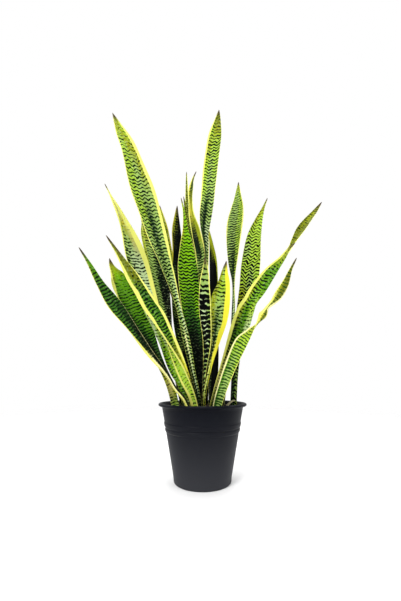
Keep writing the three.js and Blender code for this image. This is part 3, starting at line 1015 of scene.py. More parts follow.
@dataclass
class Blade:
    """A long thin blade, skinned over sections along a curve. Sizes are in millimetres.

    Attributes:
        name: The node that it stands for.
        cup: How deep it is folded at its foot and at its tip, as a share of half its width.
        ripple: How far the margins of a full-width blade wave.
        rows: x, y, z, width and turn from foot to tip. Turn is the way that the inner face
            looks, in degrees: 0 is -Y, and more turns it towards +X.
    """

    name: str
    cup: tuple[float, float]
    ripple: float
    rows: tuple[Row, ...]

    EDGE_THICKNESS = 0.8
    EDGE_SHARE = 0.6
    BASE_THICKNESS = 6.0
    TIP_THICKNESS = 1.4
    THICKNESS_PER_WIDTH = 0.2
    RIPPLES_PER_ROW = 0.5
    FULL_RIPPLE_WIDTH = 60.0
    SECTION_STEP = 4.0
    COLUMNS = 13
    EDGE_STATIONS = (0.0, 0.08, 0.25)
    POINT_LENGTH = 14.0
    POINT_WIDTH = 0.35

    def sections(self) -> tuple[np.ndarray, np.ndarray, np.ndarray]:
        """Works out every section's ring of points.

        Returns:
            The points as (section, place in ring, xyz), the data (across, along, half) of
            each, and (share across, share along) of each.
        """
        rows = np.array(self.rows, float)
        length = float(np.linalg.norm(np.diff(rows[:, :3], axis=0), axis=1).sum())
        count = int(length / self.SECTION_STEP)
        places = np.linspace(0.0, 1.0, count + 1)
        centres, rise = on_curve(rows[:, :3], places)
        width, turn = on_curve(rows[:, 3:], places)[0].T
        rise /= np.linalg.norm(rise, axis=1)[:, None]
        angle = np.radians(turn)
        facing = np.column_stack((np.sin(angle), -np.cos(angle), np.zeros_like(angle)))
        sideways = np.cross(rise, facing)
        sideways /= np.linalg.norm(sideways, axis=1)[:, None]
        out = np.cross(sideways, rise)
        steps = np.linalg.norm(np.diff(centres, axis=0), axis=1)
        along = np.concatenate(([0.0], np.cumsum(steps)))
        half = width / 2.0 * self._point(along[-1] - along)
        reach, skin = self._ring(half, width, places)
        bend = self._bend(half, width, places, reach)
        points = (centres[:, None] + sideways[:, None] * reach[..., None]
                  + out[:, None] * (bend + skin)[..., None])
        spread = np.broadcast_to(along[:, None], reach.shape)
        wide = np.broadcast_to(half[:, None], reach.shape)
        data = np.stack((reach, spread, wide), axis=-1)
        shares = np.stack((0.5 + reach / wide / 2.0, spread / along[-1]), axis=-1)
        return points, data, shares

    def _point(self, left: np.ndarray) -> np.ndarray:
        """Narrows the blade to a point over its last stretch.

        Args:
            left: Distance to the tip at each section.

        Returns:
            The share of its width that the blade keeps.
        """
        share = np.clip(left / self.POINT_LENGTH, 0.0, 1.0)
        return self.POINT_WIDTH + (1.0 - self.POINT_WIDTH) * np.sqrt(share * (2.0 - share))

    def _ring(self, half: np.ndarray, width: np.ndarray,
              places: np.ndarray) -> tuple[np.ndarray, np.ndarray]:
        """Places each ring's points across the blade and on its two faces.

        Args:
            half: Half the blade's width at each section.
            width: The width that its thickness follows.
            places: Share of the way from foot to tip.

        Returns:
            How far each point lies from the middle, and how far in front of or behind the
            blade's middle surface.
        """
        edge = np.minimum(self.EDGE_THICKNESS / 2.0, half * self.EDGE_SHARE)
        stations = np.array(self.EDGE_STATIONS)
        margin = half[:, None] - stations * (edge / (self.EDGE_THICKNESS / 2.0))[:, None]
        inner = (half - edge)[:, None] * np.linspace(-1.0, 1.0, self.COLUMNS)
        front = np.hstack((-margin, inner, margin[:, ::-1]))
        reach = np.hstack((front, front[:, -2:0:-1]))
        body = self.BASE_THICKNESS + (self.TIP_THICKNESS - self.BASE_THICKNESS) * np.sqrt(places)
        thick = np.minimum(body, self.EDGE_THICKNESS + width * self.THICKNESS_PER_WIDTH)
        column = reach / half[:, None]
        bulge = np.maximum(thick - self.EDGE_THICKNESS, 0.0)[:, None] * (1.0 - column ** 2)
        near = np.clip((half[:, None] - np.abs(reach)) / edge[:, None], 0.0, 1.0)
        rounding = np.sqrt(near * (2.0 - near))
        skin = (2.0 * edge[:, None] + bulge) / 2.0 * rounding
        skin[:, front.shape[1]:] *= -1.0
        return reach, skin

    def _bend(self, half: np.ndarray, width: np.ndarray, places: np.ndarray,
              reach: np.ndarray) -> np.ndarray:
        """How far the fold and the ripple lift each point towards the inner face.

        Args:
            half: Half the blade's width at each section.
            width: The width that the ripple follows.
            places: Share of the way from foot to tip.
            reach: How far each point lies from the middle.

        Returns:
            The lift of each point.
        """
        fold = (self.cup[0] + (self.cup[1] - self.cup[0]) * places) * half
        ripples = len(self.rows) * self.RIPPLES_PER_ROW
        wave = self.ripple * width / self.FULL_RIPPLE_WIDTH * np.sin(math.tau * ripples * places)
        share = reach / half[:, None]
        return fold[:, None] * share ** 2 + wave[:, None] * share * np.abs(share)

    def build(self, piece_name: str, material: bpy.types.Material) -> bpy.types.Object:
        """Skins the blade.

        Args:
            piece_name: The new object's name.
            material: Its material.

        Returns:
            The blade, closed at its foot and tip.
        """
        points, data, shares = self.sections()
        count, around = points.shape[:2]
        faces: list[tuple[int, ...]] = []
        for k in range(count - 1):
            low, high = k * around, (k + 1) * around
            for j in range(around):
                after = (j + 1) % around
                faces.append((low + j, low + after, high + after, high + j))
        faces.append(tuple(range(around - 1, -1, -1)))
        faces.append(tuple((count - 1) * around + j for j in range(around)))
        piece = mesh_object(piece_name, points.reshape(-1, 3), faces, material)
        self._attach(piece.data, data.reshape(-1, 3) * MM, shares.reshape(-1, 2))
        return piece

    @staticmethod
    def _attach(mesh: bpy.types.Mesh, data: np.ndarray, shares: np.ndarray) -> None:
        """Stores the blade's own coordinates on its mesh.

        Args:
            mesh: The blade's mesh.
            data: Distance across and along the blade and half its width, in metres.
            shares: Share across and along, for the UV map.
        """
        stored = mesh.attributes.new(BLADE_DATA, "FLOAT_VECTOR", "POINT")
        stored.data.foreach_set("vector", data.astype(np.float32).ravel())
        corners = np.empty(len(mesh.loops), np.int32)
        mesh.loops.foreach_get("vertex_index", corners)
        layer = mesh.uv_layers.new(name="UVMap")
        layer.data.foreach_set("uv", shares[corners].astype(np.float32).ravel())


@dataclass
class Leaf(Blade):
    """One leaf of the plant.

    Attributes:
        slot: The record's material slot of its node.
        finish: Its variegation, with the shade and light painted on it.
    """

    slot: str
    finish: LeafFinish

    SEED_STEP = 0.37

    def grow(self, number: int) -> bpy.types.Object:
        """Skins the leaf, paints it and hands it over.

        Args:
            number: Its place in the list, which sets its pattern apart.

        Returns:
            The leaf.
        """
        material = self.finish.material("variegation_and_painted_shade_" + self.name, number * self.SEED_STEP)
        piece = self.build("blade_of_" + self.name, material)
        hand_over(piece, self.name, self.slot)
        return piece


# The zones paint shade and light as well as variegation: INK and DEEP on the low stalks, where the
# margins are also narrowed, stand for the shade among the crowded feet; a dark tint on one side of
# a blade beside a pale one stands for its shaded and lit halves; OLIVE and GOLD margins stand for
# yellow margins in shade.
LEAVES: tuple[Leaf, ...] = (
    Leaf(
        "leaf_tall_left", (0.5, 0.14), 2.0,
        ((-6, -22, 176, 14, 0), (-12, -25, 258, 12, 3), (-30, -34, 341, 14, 10),
         (-49, -43, 428, 22, 23), (-77, -55, 542, 20, 43), (-105, -66, 624, 50, 50),
         (-131, -76, 704, 65, 44), (-154, -86, 781, 78, 39), (-176, -97, 856, 67, 34),
         (-198, -108, 927, 50, 34), (-220, -114, 975, 30, 34), (-238, -120, 1014, 3, 34)),
        "leaf_green",
        LeafFinish(Weave.FINE_WAVES, (
            even_zone(240.0, Tint.INK, 0.54, (0.2, 0.3)),
            Zone(300.0, (Tint.DEEP, Tint.SILVER, Tint.SAGE), (0.75, 0.32, 0.65), (0.5, 0.5)),
            Zone(430.0, (Tint.SAGE, Tint.CREAM, Tint.SAGE), (0.76, 0.27, 0.65), (0.5, 0.5)),
            Zone(480.0, (Tint.SAGE, Tint.SAGE, Tint.SILVER), (0.54, 0.54, 0.38), (0.5, 0.8)),
            Zone(560.0, (Tint.SAGE, Tint.SAGE, Tint.SILVER), (0.65, 0.49, 0.38), (0.5, 2.0)),
            Zone(620.0, (Tint.SAGE, Tint.SAGE, Tint.SAGE), (0.65, 0.7, 0.43), (1.0, 4.0)),
            Zone(700.0, (Tint.SAGE, Tint.MOSS, Tint.SAGE), (0.45, 0.65, 0.43), (4.0, 7.0)),
            Zone(760.0, (Tint.LIME, Tint.MOSS, Tint.SAGE), (0.45, 0.54, 0.38), (4.5, 8.0)),
            Zone(820.0, (Tint.LIME, Tint.SAGE, Tint.SAGE), (0.41, 0.45, 0.32), (3.0, 8.0)),
            Zone(880.0, (Tint.LIME, Tint.SAGE, Tint.OLIVE), (0.39, 0.41, 0.32), (2.5, 9.0)),
            Zone(940.0, (Tint.LIME, Tint.OLIVE, Tint.OLIVE), (0.32, 0.22, 0.22), (2.5, 8.0)),
            Zone(985.0, (Tint.OLIVE, Tint.OLIVE, Tint.LIME), (0.1, 0.16, 0.22), (2.0, 5.0)),
            even_zone(1014.0, Tint.KHAKI, 0.1, (0.5, 1.0)),
        ), core=(-0.15, 0.35), margins=(Tint.LEMON, Tint.LEMON), silver=0.35),
    ),
    Leaf(
        "leaf_tall_middle", (0.4, 0.16), 2.0,
        ((24, 12, 176, 18, 50), (21, 12, 310, 19, 58), (15, 11, 460, 21, 65), (10, 11, 601, 28, 69),
         (9, 10, 713, 31, 66), (4, 11, 792, 40, 38), (16, 12, 885, 42, 3), (26, 12, 977, 46, -12),
         (38, 12, 1069, 44, -12), (47, 11, 1124, 22, -12), (52, 10, 1160, 3, -12)),
        "leaf_green",
        LeafFinish(Weave.FINE_WAVES, (
            even_zone(240.0, Tint.INK, 0.54, (0.2, 0.5)),
            Zone(700.0, (Tint.MOSS, Tint.MOSS, Tint.SAGE), (0.54, 0.54, 0.54), (0.6, 3.0)),
            Zone(770.0, (Tint.GREEN, Tint.MOSS, Tint.SILVER), (0.65, 0.65, 0.65), (0.6, 1.5)),
            Zone(820.0, (Tint.SAGE, Tint.DEEP, Tint.SAGE), (0.65, 0.76, 0.43), (1.2, 0.5)),
            Zone(870.0, (Tint.SAGE, Tint.MOSS, Tint.SAGE), (0.45, 0.65, 0.49), (3.0, 0.8)),
            Zone(910.0, (Tint.LIME, Tint.SAGE, Tint.SAGE), (0.43, 0.49, 0.45), (4.0, 2.0)),
            Zone(970.0, (Tint.LIME, Tint.SAGE, Tint.LIME), (0.37, 0.5, 0.45), (4.0, 1.5)),
            Zone(1050.0, (Tint.OLIVE, Tint.LIME, Tint.LIME), (0.38, 0.54, 0.49), (5.0, 0.8)),
            Zone(1095.0, (Tint.LIME, Tint.OLIVE, Tint.OLIVE), (0.43, 0.32, 0.38), (5.0, 0.8)),
            even_zone(1130.0, Tint.KHAKI, 0.22, (2.0, 0.6)),
            even_zone(1160.0, Tint.KHAKI, 0.22, (1.0, 1.0)),
        ), core=(-0.35, 0.2), margins=(Tint.LEMON, Tint.LEMON), silver=0.2),
    ),
    Leaf(
        "leaf_right_centre", (0.55, 0.16), 1.5,
        ((58, 25, 172, 15, -20), (74, 34, 300, 16, -30), (96, 51, 421, 16, -41),
         (107, 74, 545, 15, -51), (110, 95, 646, 13, -54), (113, 113, 738, 42, -44),
         (119, 137, 859, 61, -24), (130, 155, 943, 49, -24), (135, 169, 1009, 23, -24),
         (138, 180, 1066, 3, -24)),
        "leaf_green",
        LeafFinish(Weave.DASHES, (
            Zone(240.0, (Tint.INK, Tint.SAGE, Tint.SILVER), (0.65, 0.43, 0.32), (0.3, 0.5)),
            Zone(560.0, (Tint.MOSS, Tint.SILVER, Tint.SAGE), (0.76, 0.32, 0.54), (0.5, 0.6)),
            Zone(620.0, (Tint.MOSS, Tint.SAGE, Tint.SAGE), (0.8, 0.54, 0.38), (0.5, 3.0)),
            Zone(690.0, (Tint.MOSS, Tint.MOSS, Tint.LIME), (0.59, 0.8, 0.65), (0.6, 2.5)),
            Zone(740.0, (Tint.SAGE, Tint.MOSS, Tint.LIME), (0.65, 0.76, 0.59), (0.8, 4.0)),
            Zone(800.0, (Tint.SAGE, Tint.SAGE, Tint.LIME), (0.49, 0.65, 0.45), (1.5, 4.0)),
            Zone(870.0, (Tint.SAGE, Tint.SAGE, Tint.LIME), (0.41, 0.54, 0.43), (4.0, 5.0)),
            Zone(930.0, (Tint.SAGE, Tint.SAGE, Tint.LIME), (0.41, 0.45, 0.39), (2.5, 4.0)),
            Zone(1010.0, (Tint.LIME, Tint.SAGE, Tint.LIME), (0.37, 0.37, 0.38), (1.0, 2.0)),
            even_zone(1040.0, Tint.OLIVE, 0.22, (0.6, 1.0)),
            even_zone(1066.0, Tint.KHAKI, 0.1, (1.0, 1.0)),
        ), core=(-0.45, 0.15), dark=Tint.DEEP, margins=(Tint.LEMON, Tint.LEMON), silver=0.35),
    ),
    Leaf(
        "leaf_right_banded", (0.9, 0.18), 2.0,
        ((94, 5, 176, 21, 12), (95, 8, 255, 21, 11), (106, 23, 376, 24, 3), (132, 45, 523, 43, -9),
         (155, 64, 616, 60, -14), (166, 77, 700, 62, -16), (179, 96, 800, 50, -16),
         (199, 111, 874, 27, -11), (218, 121, 927, 10, -11), (235, 130, 969, 3, -11)),
        "leaf_dark",
        LeafFinish(Weave.CHEVRONS, (
            Zone(240.0, (Tint.INK, Tint.MOSS, Tint.SAGE), (0.54, 0.65, 0.49), (0.3, 0.6)),
            Zone(330.0, (Tint.INK, Tint.MOSS, Tint.SAGE), (0.54, 0.54, 0.54), (0.3, 0.5)),
            Zone(520.0, (Tint.KHAKI, Tint.MOSS, Tint.GREEN), (0.43, 0.65, 0.54), (0.5, 1.0)),
            Zone(600.0, (Tint.OLIVE, Tint.SAGE, Tint.LIME), (0.54, 0.76, 0.38), (1.0, 1.5)),
            Zone(650.0, (Tint.LIME, Tint.SAGE, Tint.LIME), (0.59, 0.78, 0.32), (2.0, 1.5)),
            Zone(710.0, (Tint.LIME, Tint.LIME, Tint.LIME), (0.6, 0.59, 0.49), (2.0, 1.0)),
            Zone(760.0, (Tint.SAGE, Tint.LIME, Tint.LIME), (0.59, 0.45, 0.45), (1.5, 1.0)),
            Zone(830.0, (Tint.LIME, Tint.LIME, Tint.LIME), (0.45, 0.38, 0.38), (1.5, 0.6)),
            Zone(880.0, (Tint.OLIVE, Tint.LIME, Tint.LIME), (0.32, 0.27, 0.32), (1.0, 0.5)),
            even_zone(925.0, Tint.OLIVE, 0.16, (1.0, 0.6)),
            even_zone(969.0, Tint.KHAKI, 0.1, (1.0, 1.0)),
        ), core=(-0.25, 0.35), dark=Tint.INK, margins=(Tint.OLIVE, Tint.LEMON), silver=0.1),
    ),
    Leaf(
        "leaf_right_leaning", (0.8, 0.2), 1.5,
        ((21, -42, 179, 20, 0), (33, -44, 244, 22, -2), (76, -54, 362, 39, -19),
         (105, -64, 439, 53, -28), (125, -73, 503, 53, -30), (136, -78, 529, 42, -30),
         (154, -82, 556, 48, -30), (187, -92, 604, 36, -30), (215, -101, 638, 19, -30),
         (230, -107, 660, 9, -30), (246, -112, 676, 3, -30)),
        "leaf_green",
        LeafFinish(Weave.FLECKS, (
            Zone(240.0, (Tint.KHAKI, Tint.INK, Tint.INK), (0.22, 0.54, 0.54), (2.0, 0.5)),
            Zone(330.0, (Tint.STRAW, Tint.DEEP, Tint.SAGE), (0.32, 0.65, 0.43), (3.0, 0.5)),
            Zone(400.0, (Tint.KHAKI, Tint.GREEN, Tint.SILVER), (0.54, 0.38, 0.32), (6.0, 0.6)),
            Zone(450.0, (Tint.MOSS, Tint.GRASS, Tint.SILVER), (0.59, 0.38, 0.32), (7.0, 1.0)),
            Zone(500.0, (Tint.OLIVE, Tint.GRASS, Tint.LIME), (0.38, 0.38, 0.38), (8.0, 1.5)),
            Zone(560.0, (Tint.OLIVE, Tint.FRESH, Tint.GRASS), (0.49, 0.54, 0.32), (7.0, 1.0)),
            Zone(610.0, (Tint.GRASS, Tint.GRASS, Tint.GRASS), (0.32, 0.45, 0.32), (5.0, 0.6)),
            even_zone(650.0, Tint.OLIVE, 0.22, (4.0, 0.8)),
            even_zone(676.0, Tint.KHAKI, 0.22, (1.0, 1.0)),
        ), core=(-0.45, 0.25), margins=(Tint.LEMON, Tint.SAGE), silver=0.2),
    ),
    Leaf(
        "leaf_far_right", (0.6, 0.2), 1.5,
        ((42, -8, 174, 18, 20), (73, 2, 343, 28, 9), (128, 14, 502, 35, -10),
         (202, 27, 632, 32, -18), (278, 38, 731, 14, -23), (299, 43, 766, 18, -26),
         (322, 47, 803, 29, -28), (347, 51, 838, 24, -28), (371, 55, 868, 17, -28),
         (398, 60, 906, 3, -28)),
        "leaf_green",
        LeafFinish(Weave.FLECKS, (
            even_zone(240.0, Tint.INK, 0.54, (0.5, 0.5)),
            even_zone(600.0, Tint.MOSS, 0.54, (2.0, 2.0)),
            Zone(740.0, (Tint.OLIVE, Tint.KHAKI, Tint.OLIVE), (0.43, 0.32, 0.22), (1.0, 3.0)),
            Zone(800.0, (Tint.KHAKI, Tint.KHAKI, Tint.KHAKI), (0.32, 0.22, 0.22), (0.6, 1.0)),
            Zone(860.0, (Tint.KHAKI, Tint.OLIVE, Tint.KHAKI), (0.32, 0.32, 0.22), (0.6, 1.0)),
            even_zone(906.0, Tint.BROWN, 0.32, (0.5, 0.5)),
        ), core=(-0.5, 0.3), margins=(Tint.LEMON, Tint.LEMON), silver=0.1),
    ),
    Leaf(
        "leaf_right_twisted", (0.5, 0.15), 1.5,
        ((32, -62, 182, 22, 0), (45, -68, 254, 26, -2), (73, -84, 339, 32, -9),
         (102, -102, 405, 37, -22), (125, -108, 435, 26, -48), (145, -112, 459, 23, -100),
         (162, -118, 481, 30, -138), (169, -124, 499, 12, -160), (182, -129, 512, 15, -166),
         (195, -137, 528, 24, -171), (207, -153, 552, 19, -177), (213, -172, 577, 8, -184),
         (221, -190, 598, 3, -189)),
        "leaf_green",
        LeafFinish(Weave.BARS, (
            Zone(240.0, (Tint.GREEN, Tint.SAGE, Tint.SAGE), (0.65, 0.65, 0.59), (3.0, 1.0)),
            Zone(300.0, (Tint.GRASS, Tint.SAGE, Tint.SAGE), (0.45, 0.49, 0.38), (4.0, 2.0)),
            Zone(350.0, (Tint.GRASS, Tint.SAGE, Tint.LIME), (0.52, 0.54, 0.49), (5.0, 1.5)),
            Zone(420.0, (Tint.LIME, Tint.LIME, Tint.LIME), (0.38, 0.49, 0.45), (4.0, 0.6)),
            even_zone(450.0, Tint.OLIVE, 0.27, (4.0, 3.0)),
            Zone(475.0, (Tint.OLIVE, Tint.KHAKI, Tint.YELLOW), (0.22, 0.22, 0.22), (7.0, 7.0)),
            Zone(510.0, (Tint.KHAKI, Tint.KHAKI, Tint.LEMON), (0.32, 0.27, 0.1), (5.0, 4.0)),
            Zone(545.0, (Tint.KHAKI, Tint.KHAKI, Tint.OLIVE), (0.32, 0.32, 0.22), (2.0, 2.0)),
            even_zone(568.0, Tint.KHAKI, 0.32, (1.0, 1.0)),
            even_zone(600.0, Tint.KHAKI, 0.32, (1.0, 1.0)),
        ), core=(-0.3, 0.4), dark=Tint.MOSS, margins=(Tint.CREAM, Tint.LEMON), silver=0.12),
    ),
    Leaf(
        "leaf_front_wide_margin", (0.4, 0.2), 1.0,
        ((7, -49, 180, 12, -25), (6, -54, 258, 8, -42), (21, -67, 340, 14, -51),
         (35, -82, 406, 31, -44), (46, -98, 469, 49, -26), (49, -114, 523, 52, -19),
         (55, -128, 559, 34, -14), (56, -140, 586, 17, -14), (59, -150, 610, 3, -14)),
        "leaf_pale",
        LeafFinish(Weave.FLECKS, (
            Zone(240.0, (Tint.LEMON, Tint.OLIVE, Tint.INK), (0.32, 0.43, 0.54), (3.0, 0.5)),
            Zone(290.0, (Tint.LEMON, Tint.SAGE, Tint.MOSS), (0.32, 0.22, 0.54), (0.5, 0.5)),
            Zone(345.0, (Tint.KHAKI, Tint.LEMON, Tint.OLIVE), (0.54, 0.1, 0.22), (0.5, 2.0)),
            Zone(380.0, (Tint.INK, Tint.INK, Tint.YELLOW), (0.43, 0.54, 0.1), (0.8, 12.0)),
            Zone(430.0, (Tint.KHAKI, Tint.INK, Tint.SAGE), (0.38, 0.65, 0.54), (0.5, 19.0)),
            Zone(470.0, (Tint.KHAKI, Tint.MOSS, Tint.SAGE), (0.32, 0.54, 0.43), (0.5, 18.0)),
            Zone(510.0, (Tint.OLIVE, Tint.SAGE, Tint.SAGE), (0.22, 0.38, 0.43), (0.6, 16.0)),
            Zone(550.0, (Tint.OLIVE, Tint.LIME, Tint.LIME), (0.38, 0.32, 0.45), (0.6, 13.0)),
            Zone(580.0, (Tint.OLIVE, Tint.LIME, Tint.LIME), (0.22, 0.32, 0.22), (1.0, 10.0)),
            even_zone(610.0, Tint.BROWN, 0.22, (1.0, 3.0)),
        ), core=(-0.55, -0.15), dark=Tint.DEEP, margins=(Tint.OLIVE, Tint.YELLOW), silver=0.35),
    ),
    Leaf(
        "leaf_front_small", (0.5, 0.15), 1.0,
        ((1, -78, 185, 11, 40), (-1, -86, 252, 7, 52), (3, -104, 332, 12, 48),
         (9, -126, 408, 24, 26), (4, -151, 485, 31, 14), (3, -173, 540, 26, 14),
         (5, -188, 572, 15, 14), (4, -200, 595, 3, 14)),
        "leaf_pale",
        LeafFinish(Weave.BOLD_BARS, (
            even_zone(240.0, Tint.INK, 0.54, (0.1, 0.6)),
            Zone(300.0, (Tint.INK, Tint.INK, Tint.SAGE), (0.54, 0.54, 0.65), (0.1, 0.6)),
            Zone(345.0, (Tint.INK, Tint.SAGE, Tint.SAGE), (0.65, 0.75, 0.65), (0.1, 1.2)),
            Zone(385.0, (Tint.SAGE, Tint.SILVER, Tint.SAGE), (0.85, 0.82, 0.8), (0.5, 1.6)),
            Zone(440.0, (Tint.SILVER, Tint.SILVER, Tint.SAGE), (0.8, 0.76, 0.8), (1.0, 1.8)),
            Zone(510.0, (Tint.SILVER, Tint.SILVER, Tint.SAGE), (0.84, 0.84, 0.76), (1.0, 2.0)),
            Zone(535.0, (Tint.SAGE, Tint.SAGE, Tint.SAGE), (0.49, 0.54, 0.49), (2.0, 2.5)),
            even_zone(560.0, Tint.SAGE, 0.38, (2.5, 3.0)),
            even_zone(595.0, Tint.KHAKI, 0.32, (1.0, 2.0)),
        ), core=(-0.3, 0.3), dark=Tint.INK, margins=(Tint.LEMON, Tint.LEMON), silver=0.3),
    ),
    Leaf(
        "leaf_centre_front", (0.5, 0.18), 2.0,
        ((-6, -6, 173, 22, -10), (-10, -10, 300, 28, -7), (-21, -16, 420, 43, 1),
         (-36, -21, 529, 59, 11), (-46, -28, 637, 59, 14), (-48, -33, 705, 41, 14),
         (-51, -37, 755, 18, 14), (-55, -42, 804, 7, 14), (-63, -45, 844, 3, 14)),
        "leaf_green",
        LeafFinish(Weave.WAVES, (
            even_zone(240.0, Tint.INK, 0.54, (0.2, 0.1)),
            Zone(290.0, (Tint.MOSS, Tint.INK, Tint.INK), (0.54, 0.54, 0.54), (0.2, 0.1)),
            Zone(400.0, (Tint.DEEP, Tint.INK, Tint.INK), (0.54, 0.54, 0.54), (0.3, 0.2)),
            Zone(450.0, (Tint.DEEP, Tint.DEEP, Tint.MOSS), (0.54, 0.54, 0.54), (1.2, 0.5)),
            Zone(490.0, (Tint.GREEN, Tint.MOSS, Tint.GREEN), (0.54, 0.59, 0.49), (1.5, 0.8)),
            Zone(520.0, (Tint.GRASS, Tint.GREEN, Tint.FRESH), (0.54, 0.54, 0.54), (1.5, 0.6)),
            Zone(570.0, (Tint.FRESH, Tint.GRASS, Tint.FRESH), (0.54, 0.49, 0.65), (1.2, 0.3)),
            Zone(620.0, (Tint.FRESH, Tint.FRESH, Tint.GRASS), (0.54, 0.54, 0.65), (1.2, 0.4)),
            Zone(700.0, (Tint.FRESH, Tint.FRESH, Tint.FRESH), (0.45, 0.43, 0.39), (1.5, 0.8)),
            Zone(750.0, (Tint.OLIVE, Tint.FRESH, Tint.FRESH), (0.22, 0.32, 0.38), (1.5, 0.4)),
            Zone(820.0, (Tint.KHAKI, Tint.FRESH, Tint.OLIVE), (0.22, 0.22, 0.22), (1.0, 0.5)),
            even_zone(844.0, Tint.OLIVE, 0.1, (1.0, 1.0)),
        ), core=(-0.4, 0.5), dark=Tint.INK, margins=(Tint.LEMON, Tint.LEMON), silver=0.06),
    ),
    Leaf(
        "leaf_centre_behind", (0.5, 0.18), 1.5,
        ((-26, 32, 172, 18, 0), (-32, 47, 377, 29, 11), (-42, 69, 564, 42, 24),
         (-52, 92, 732, 37, 24), (-59, 109, 859, 20, 24), (-60, 117, 922, 11, 24),
         (-67, 125, 971, 3, 24)),
        "leaf_dark",
        LeafFinish(Weave.FLECKS, (
            even_zone(240.0, Tint.INK, 0.54, (0.3, 0.3)),
            even_zone(700.0, Tint.MOSS, 0.54, (1.0, 1.0)),
            Zone(850.0, (Tint.KHAKI, Tint.MOSS, Tint.KHAKI), (0.49, 0.49, 0.49), (0.6, 0.6)),
            even_zone(972.0, Tint.KHAKI, 0.32, (0.5, 0.5)),
        ), margins=(Tint.GOLD, Tint.GOLD)),
    ),
    Leaf(
        "leaf_back_slender", (0.5, 0.2), 1.0,
        ((-8, 60, 172, 18, 10), (-12, 81, 370, 28, 10), (-20, 113, 586, 39, 10),
         (-36, 141, 777, 33, 10), (-52, 159, 897, 21, 20), (-58, 173, 986, 14, 26),
         (-59, 186, 1057, 9, 18), (-60, 195, 1117, 3, 0)),
        "leaf_green",
        LeafFinish(Weave.FLECKS, (
            even_zone(240.0, Tint.INK, 0.54, (0.3, 0.3)),
            even_zone(700.0, Tint.MOSS, 0.54, (1.0, 1.0)),
            Zone(900.0, (Tint.MOSS, Tint.MOSS, Tint.OLIVE), (0.54, 0.54, 0.32), (1.0, 2.0)),
            Zone(990.0, (Tint.OLIVE, Tint.KHAKI, Tint.KHAKI), (0.43, 0.43, 0.32), (1.5, 1.0)),
            Zone(1050.0, (Tint.KHAKI, Tint.KHAKI, Tint.OLIVE), (0.22, 0.22, 0.22), (0.5, 2.0)),
            even_zone(1118.0, Tint.KHAKI, 0.22, (0.5, 1.0)),
        ), margins=(Tint.LEMON, Tint.LEMON)),
    ),
    Leaf(
        "leaf_middle_twisted", (0.5, 0.25), 1.0,
        ((8, 36, 173, 18, -10), (10, 42, 350, 26, -13), (8, 53, 532, 35, -17),
         (3, 62, 666, 35, -23), (-5, 68, 743, 36, -28), (-18, 74, 811, 34, -33),
         (-35, 79, 876, 22, -34), (-39, 83, 926, 15, -28), (-39, 87, 967, 17, -16),
         (-33, 90, 1003, 8, -8), (-21, 92, 1034, 3, -8)),
        "leaf_dark",
        LeafFinish(Weave.FLECKS, (
            even_zone(240.0, Tint.INK, 0.54, (0.2, 0.5)),
            even_zone(600.0, Tint.DEEP, 0.65, (0.6, 1.0)),
            Zone(640.0, (Tint.KHAKI, Tint.OLIVE, Tint.OLIVE), (0.54, 0.43, 0.32), (0.5, 1.5)),
            Zone(700.0, (Tint.SAGE, Tint.SAGE, Tint.SAGE), (0.49, 0.59, 0.54), (2.0, 1.5)),
            Zone(745.0, (Tint.MOSS, Tint.DEEP, Tint.SAGE), (0.54, 0.76, 0.49), (2.5, 3.0)),
            Zone(790.0, (Tint.INK, Tint.INK, Tint.OLIVE), (0.65, 0.54, 0.1), (1.5, 5.0)),
            Zone(840.0, (Tint.KHAKI, Tint.KHAKI, Tint.OLIVE), (0.43, 0.32, 0.1), (3.0, 4.0)),
            Zone(890.0, (Tint.GOLD, Tint.GOLD, Tint.OLIVE), (0.1, 0.1, 0.1), (3.0, 4.0)),
            Zone(940.0, (Tint.OLIVE, Tint.KHAKI, Tint.KHAKI), (0.22, 0.22, 0.22), (2.5, 1.5)),
            Zone(980.0, (Tint.YELLOW, Tint.KHAKI, Tint.MOSS), (0.32, 0.32, 0.32), (4.0, 1.0)),
            even_zone(1034.0, Tint.BROWN, 0.32, (0.5, 0.5)),
        ), core=(-0.5, 0.05), dark=Tint.DEEP, margins=(Tint.LEMON, Tint.LEMON), silver=0.1),
    ),
    Leaf(
        "leaf_centre_dark", (0.5, 0.18), 1.5,
        ((-38, 10, 173, 18, 15), (-55, 17, 343, 26, 25), (-77, 28, 488, 44, 35),
         (-80, 37, 615, 56, 31), (-81, 46, 719, 40, 26), (-87, 54, 798, 33, 26),
         (-86, 59, 857, 16, 26), (-84, 62, 895, 3, 26)),
        "leaf_dark",
        LeafFinish(Weave.FLECKS, (
            even_zone(240.0, Tint.INK, 0.54, (0.2, 0.2)),
            Zone(400.0, (Tint.SAGE, Tint.INK, Tint.INK), (0.76, 0.54, 0.54), (0.5, 0.2)),
            Zone(450.0, (Tint.MOSS, Tint.SAGE, Tint.MOSS), (0.54, 0.65, 0.54), (0.3, 0.3)),
            Zone(500.0, (Tint.MOSS, Tint.SAGE, Tint.SAGE), (0.65, 0.78, 0.65), (0.3, 0.3)),
            Zone(600.0, (Tint.SAGE, Tint.INK, Tint.OLIVE), (0.43, 0.54, 0.43), (2.0, 0.6)),
            even_zone(700.0, Tint.INK, 0.54, (3.0, 0.6)),
            Zone(740.0, (Tint.INK, Tint.INK, Tint.DEEP), (0.54, 0.54, 0.54), (4.0, 0.3)),
            Zone(790.0, (Tint.KHAKI, Tint.INK, Tint.INK), (0.43, 0.54, 0.54), (3.5, 0.2)),
            Zone(840.0, (Tint.OLIVE, Tint.KHAKI, Tint.INK), (0.32, 0.54, 0.54), (3.0, 0.3)),
            even_zone(895.0, Tint.BROWN, 0.32, (1.0, 0.5)),
        ), dark=Tint.INK, margins=(Tint.GOLD, Tint.GOLD), silver=0.05),
    ),
    Leaf(
        "leaf_middle_short", (0.5, 0.2), 1.0,
        ((30, -20, 176, 18, -20), (39, -8, 320, 23, -26), (41, 10, 452, 28, -30),
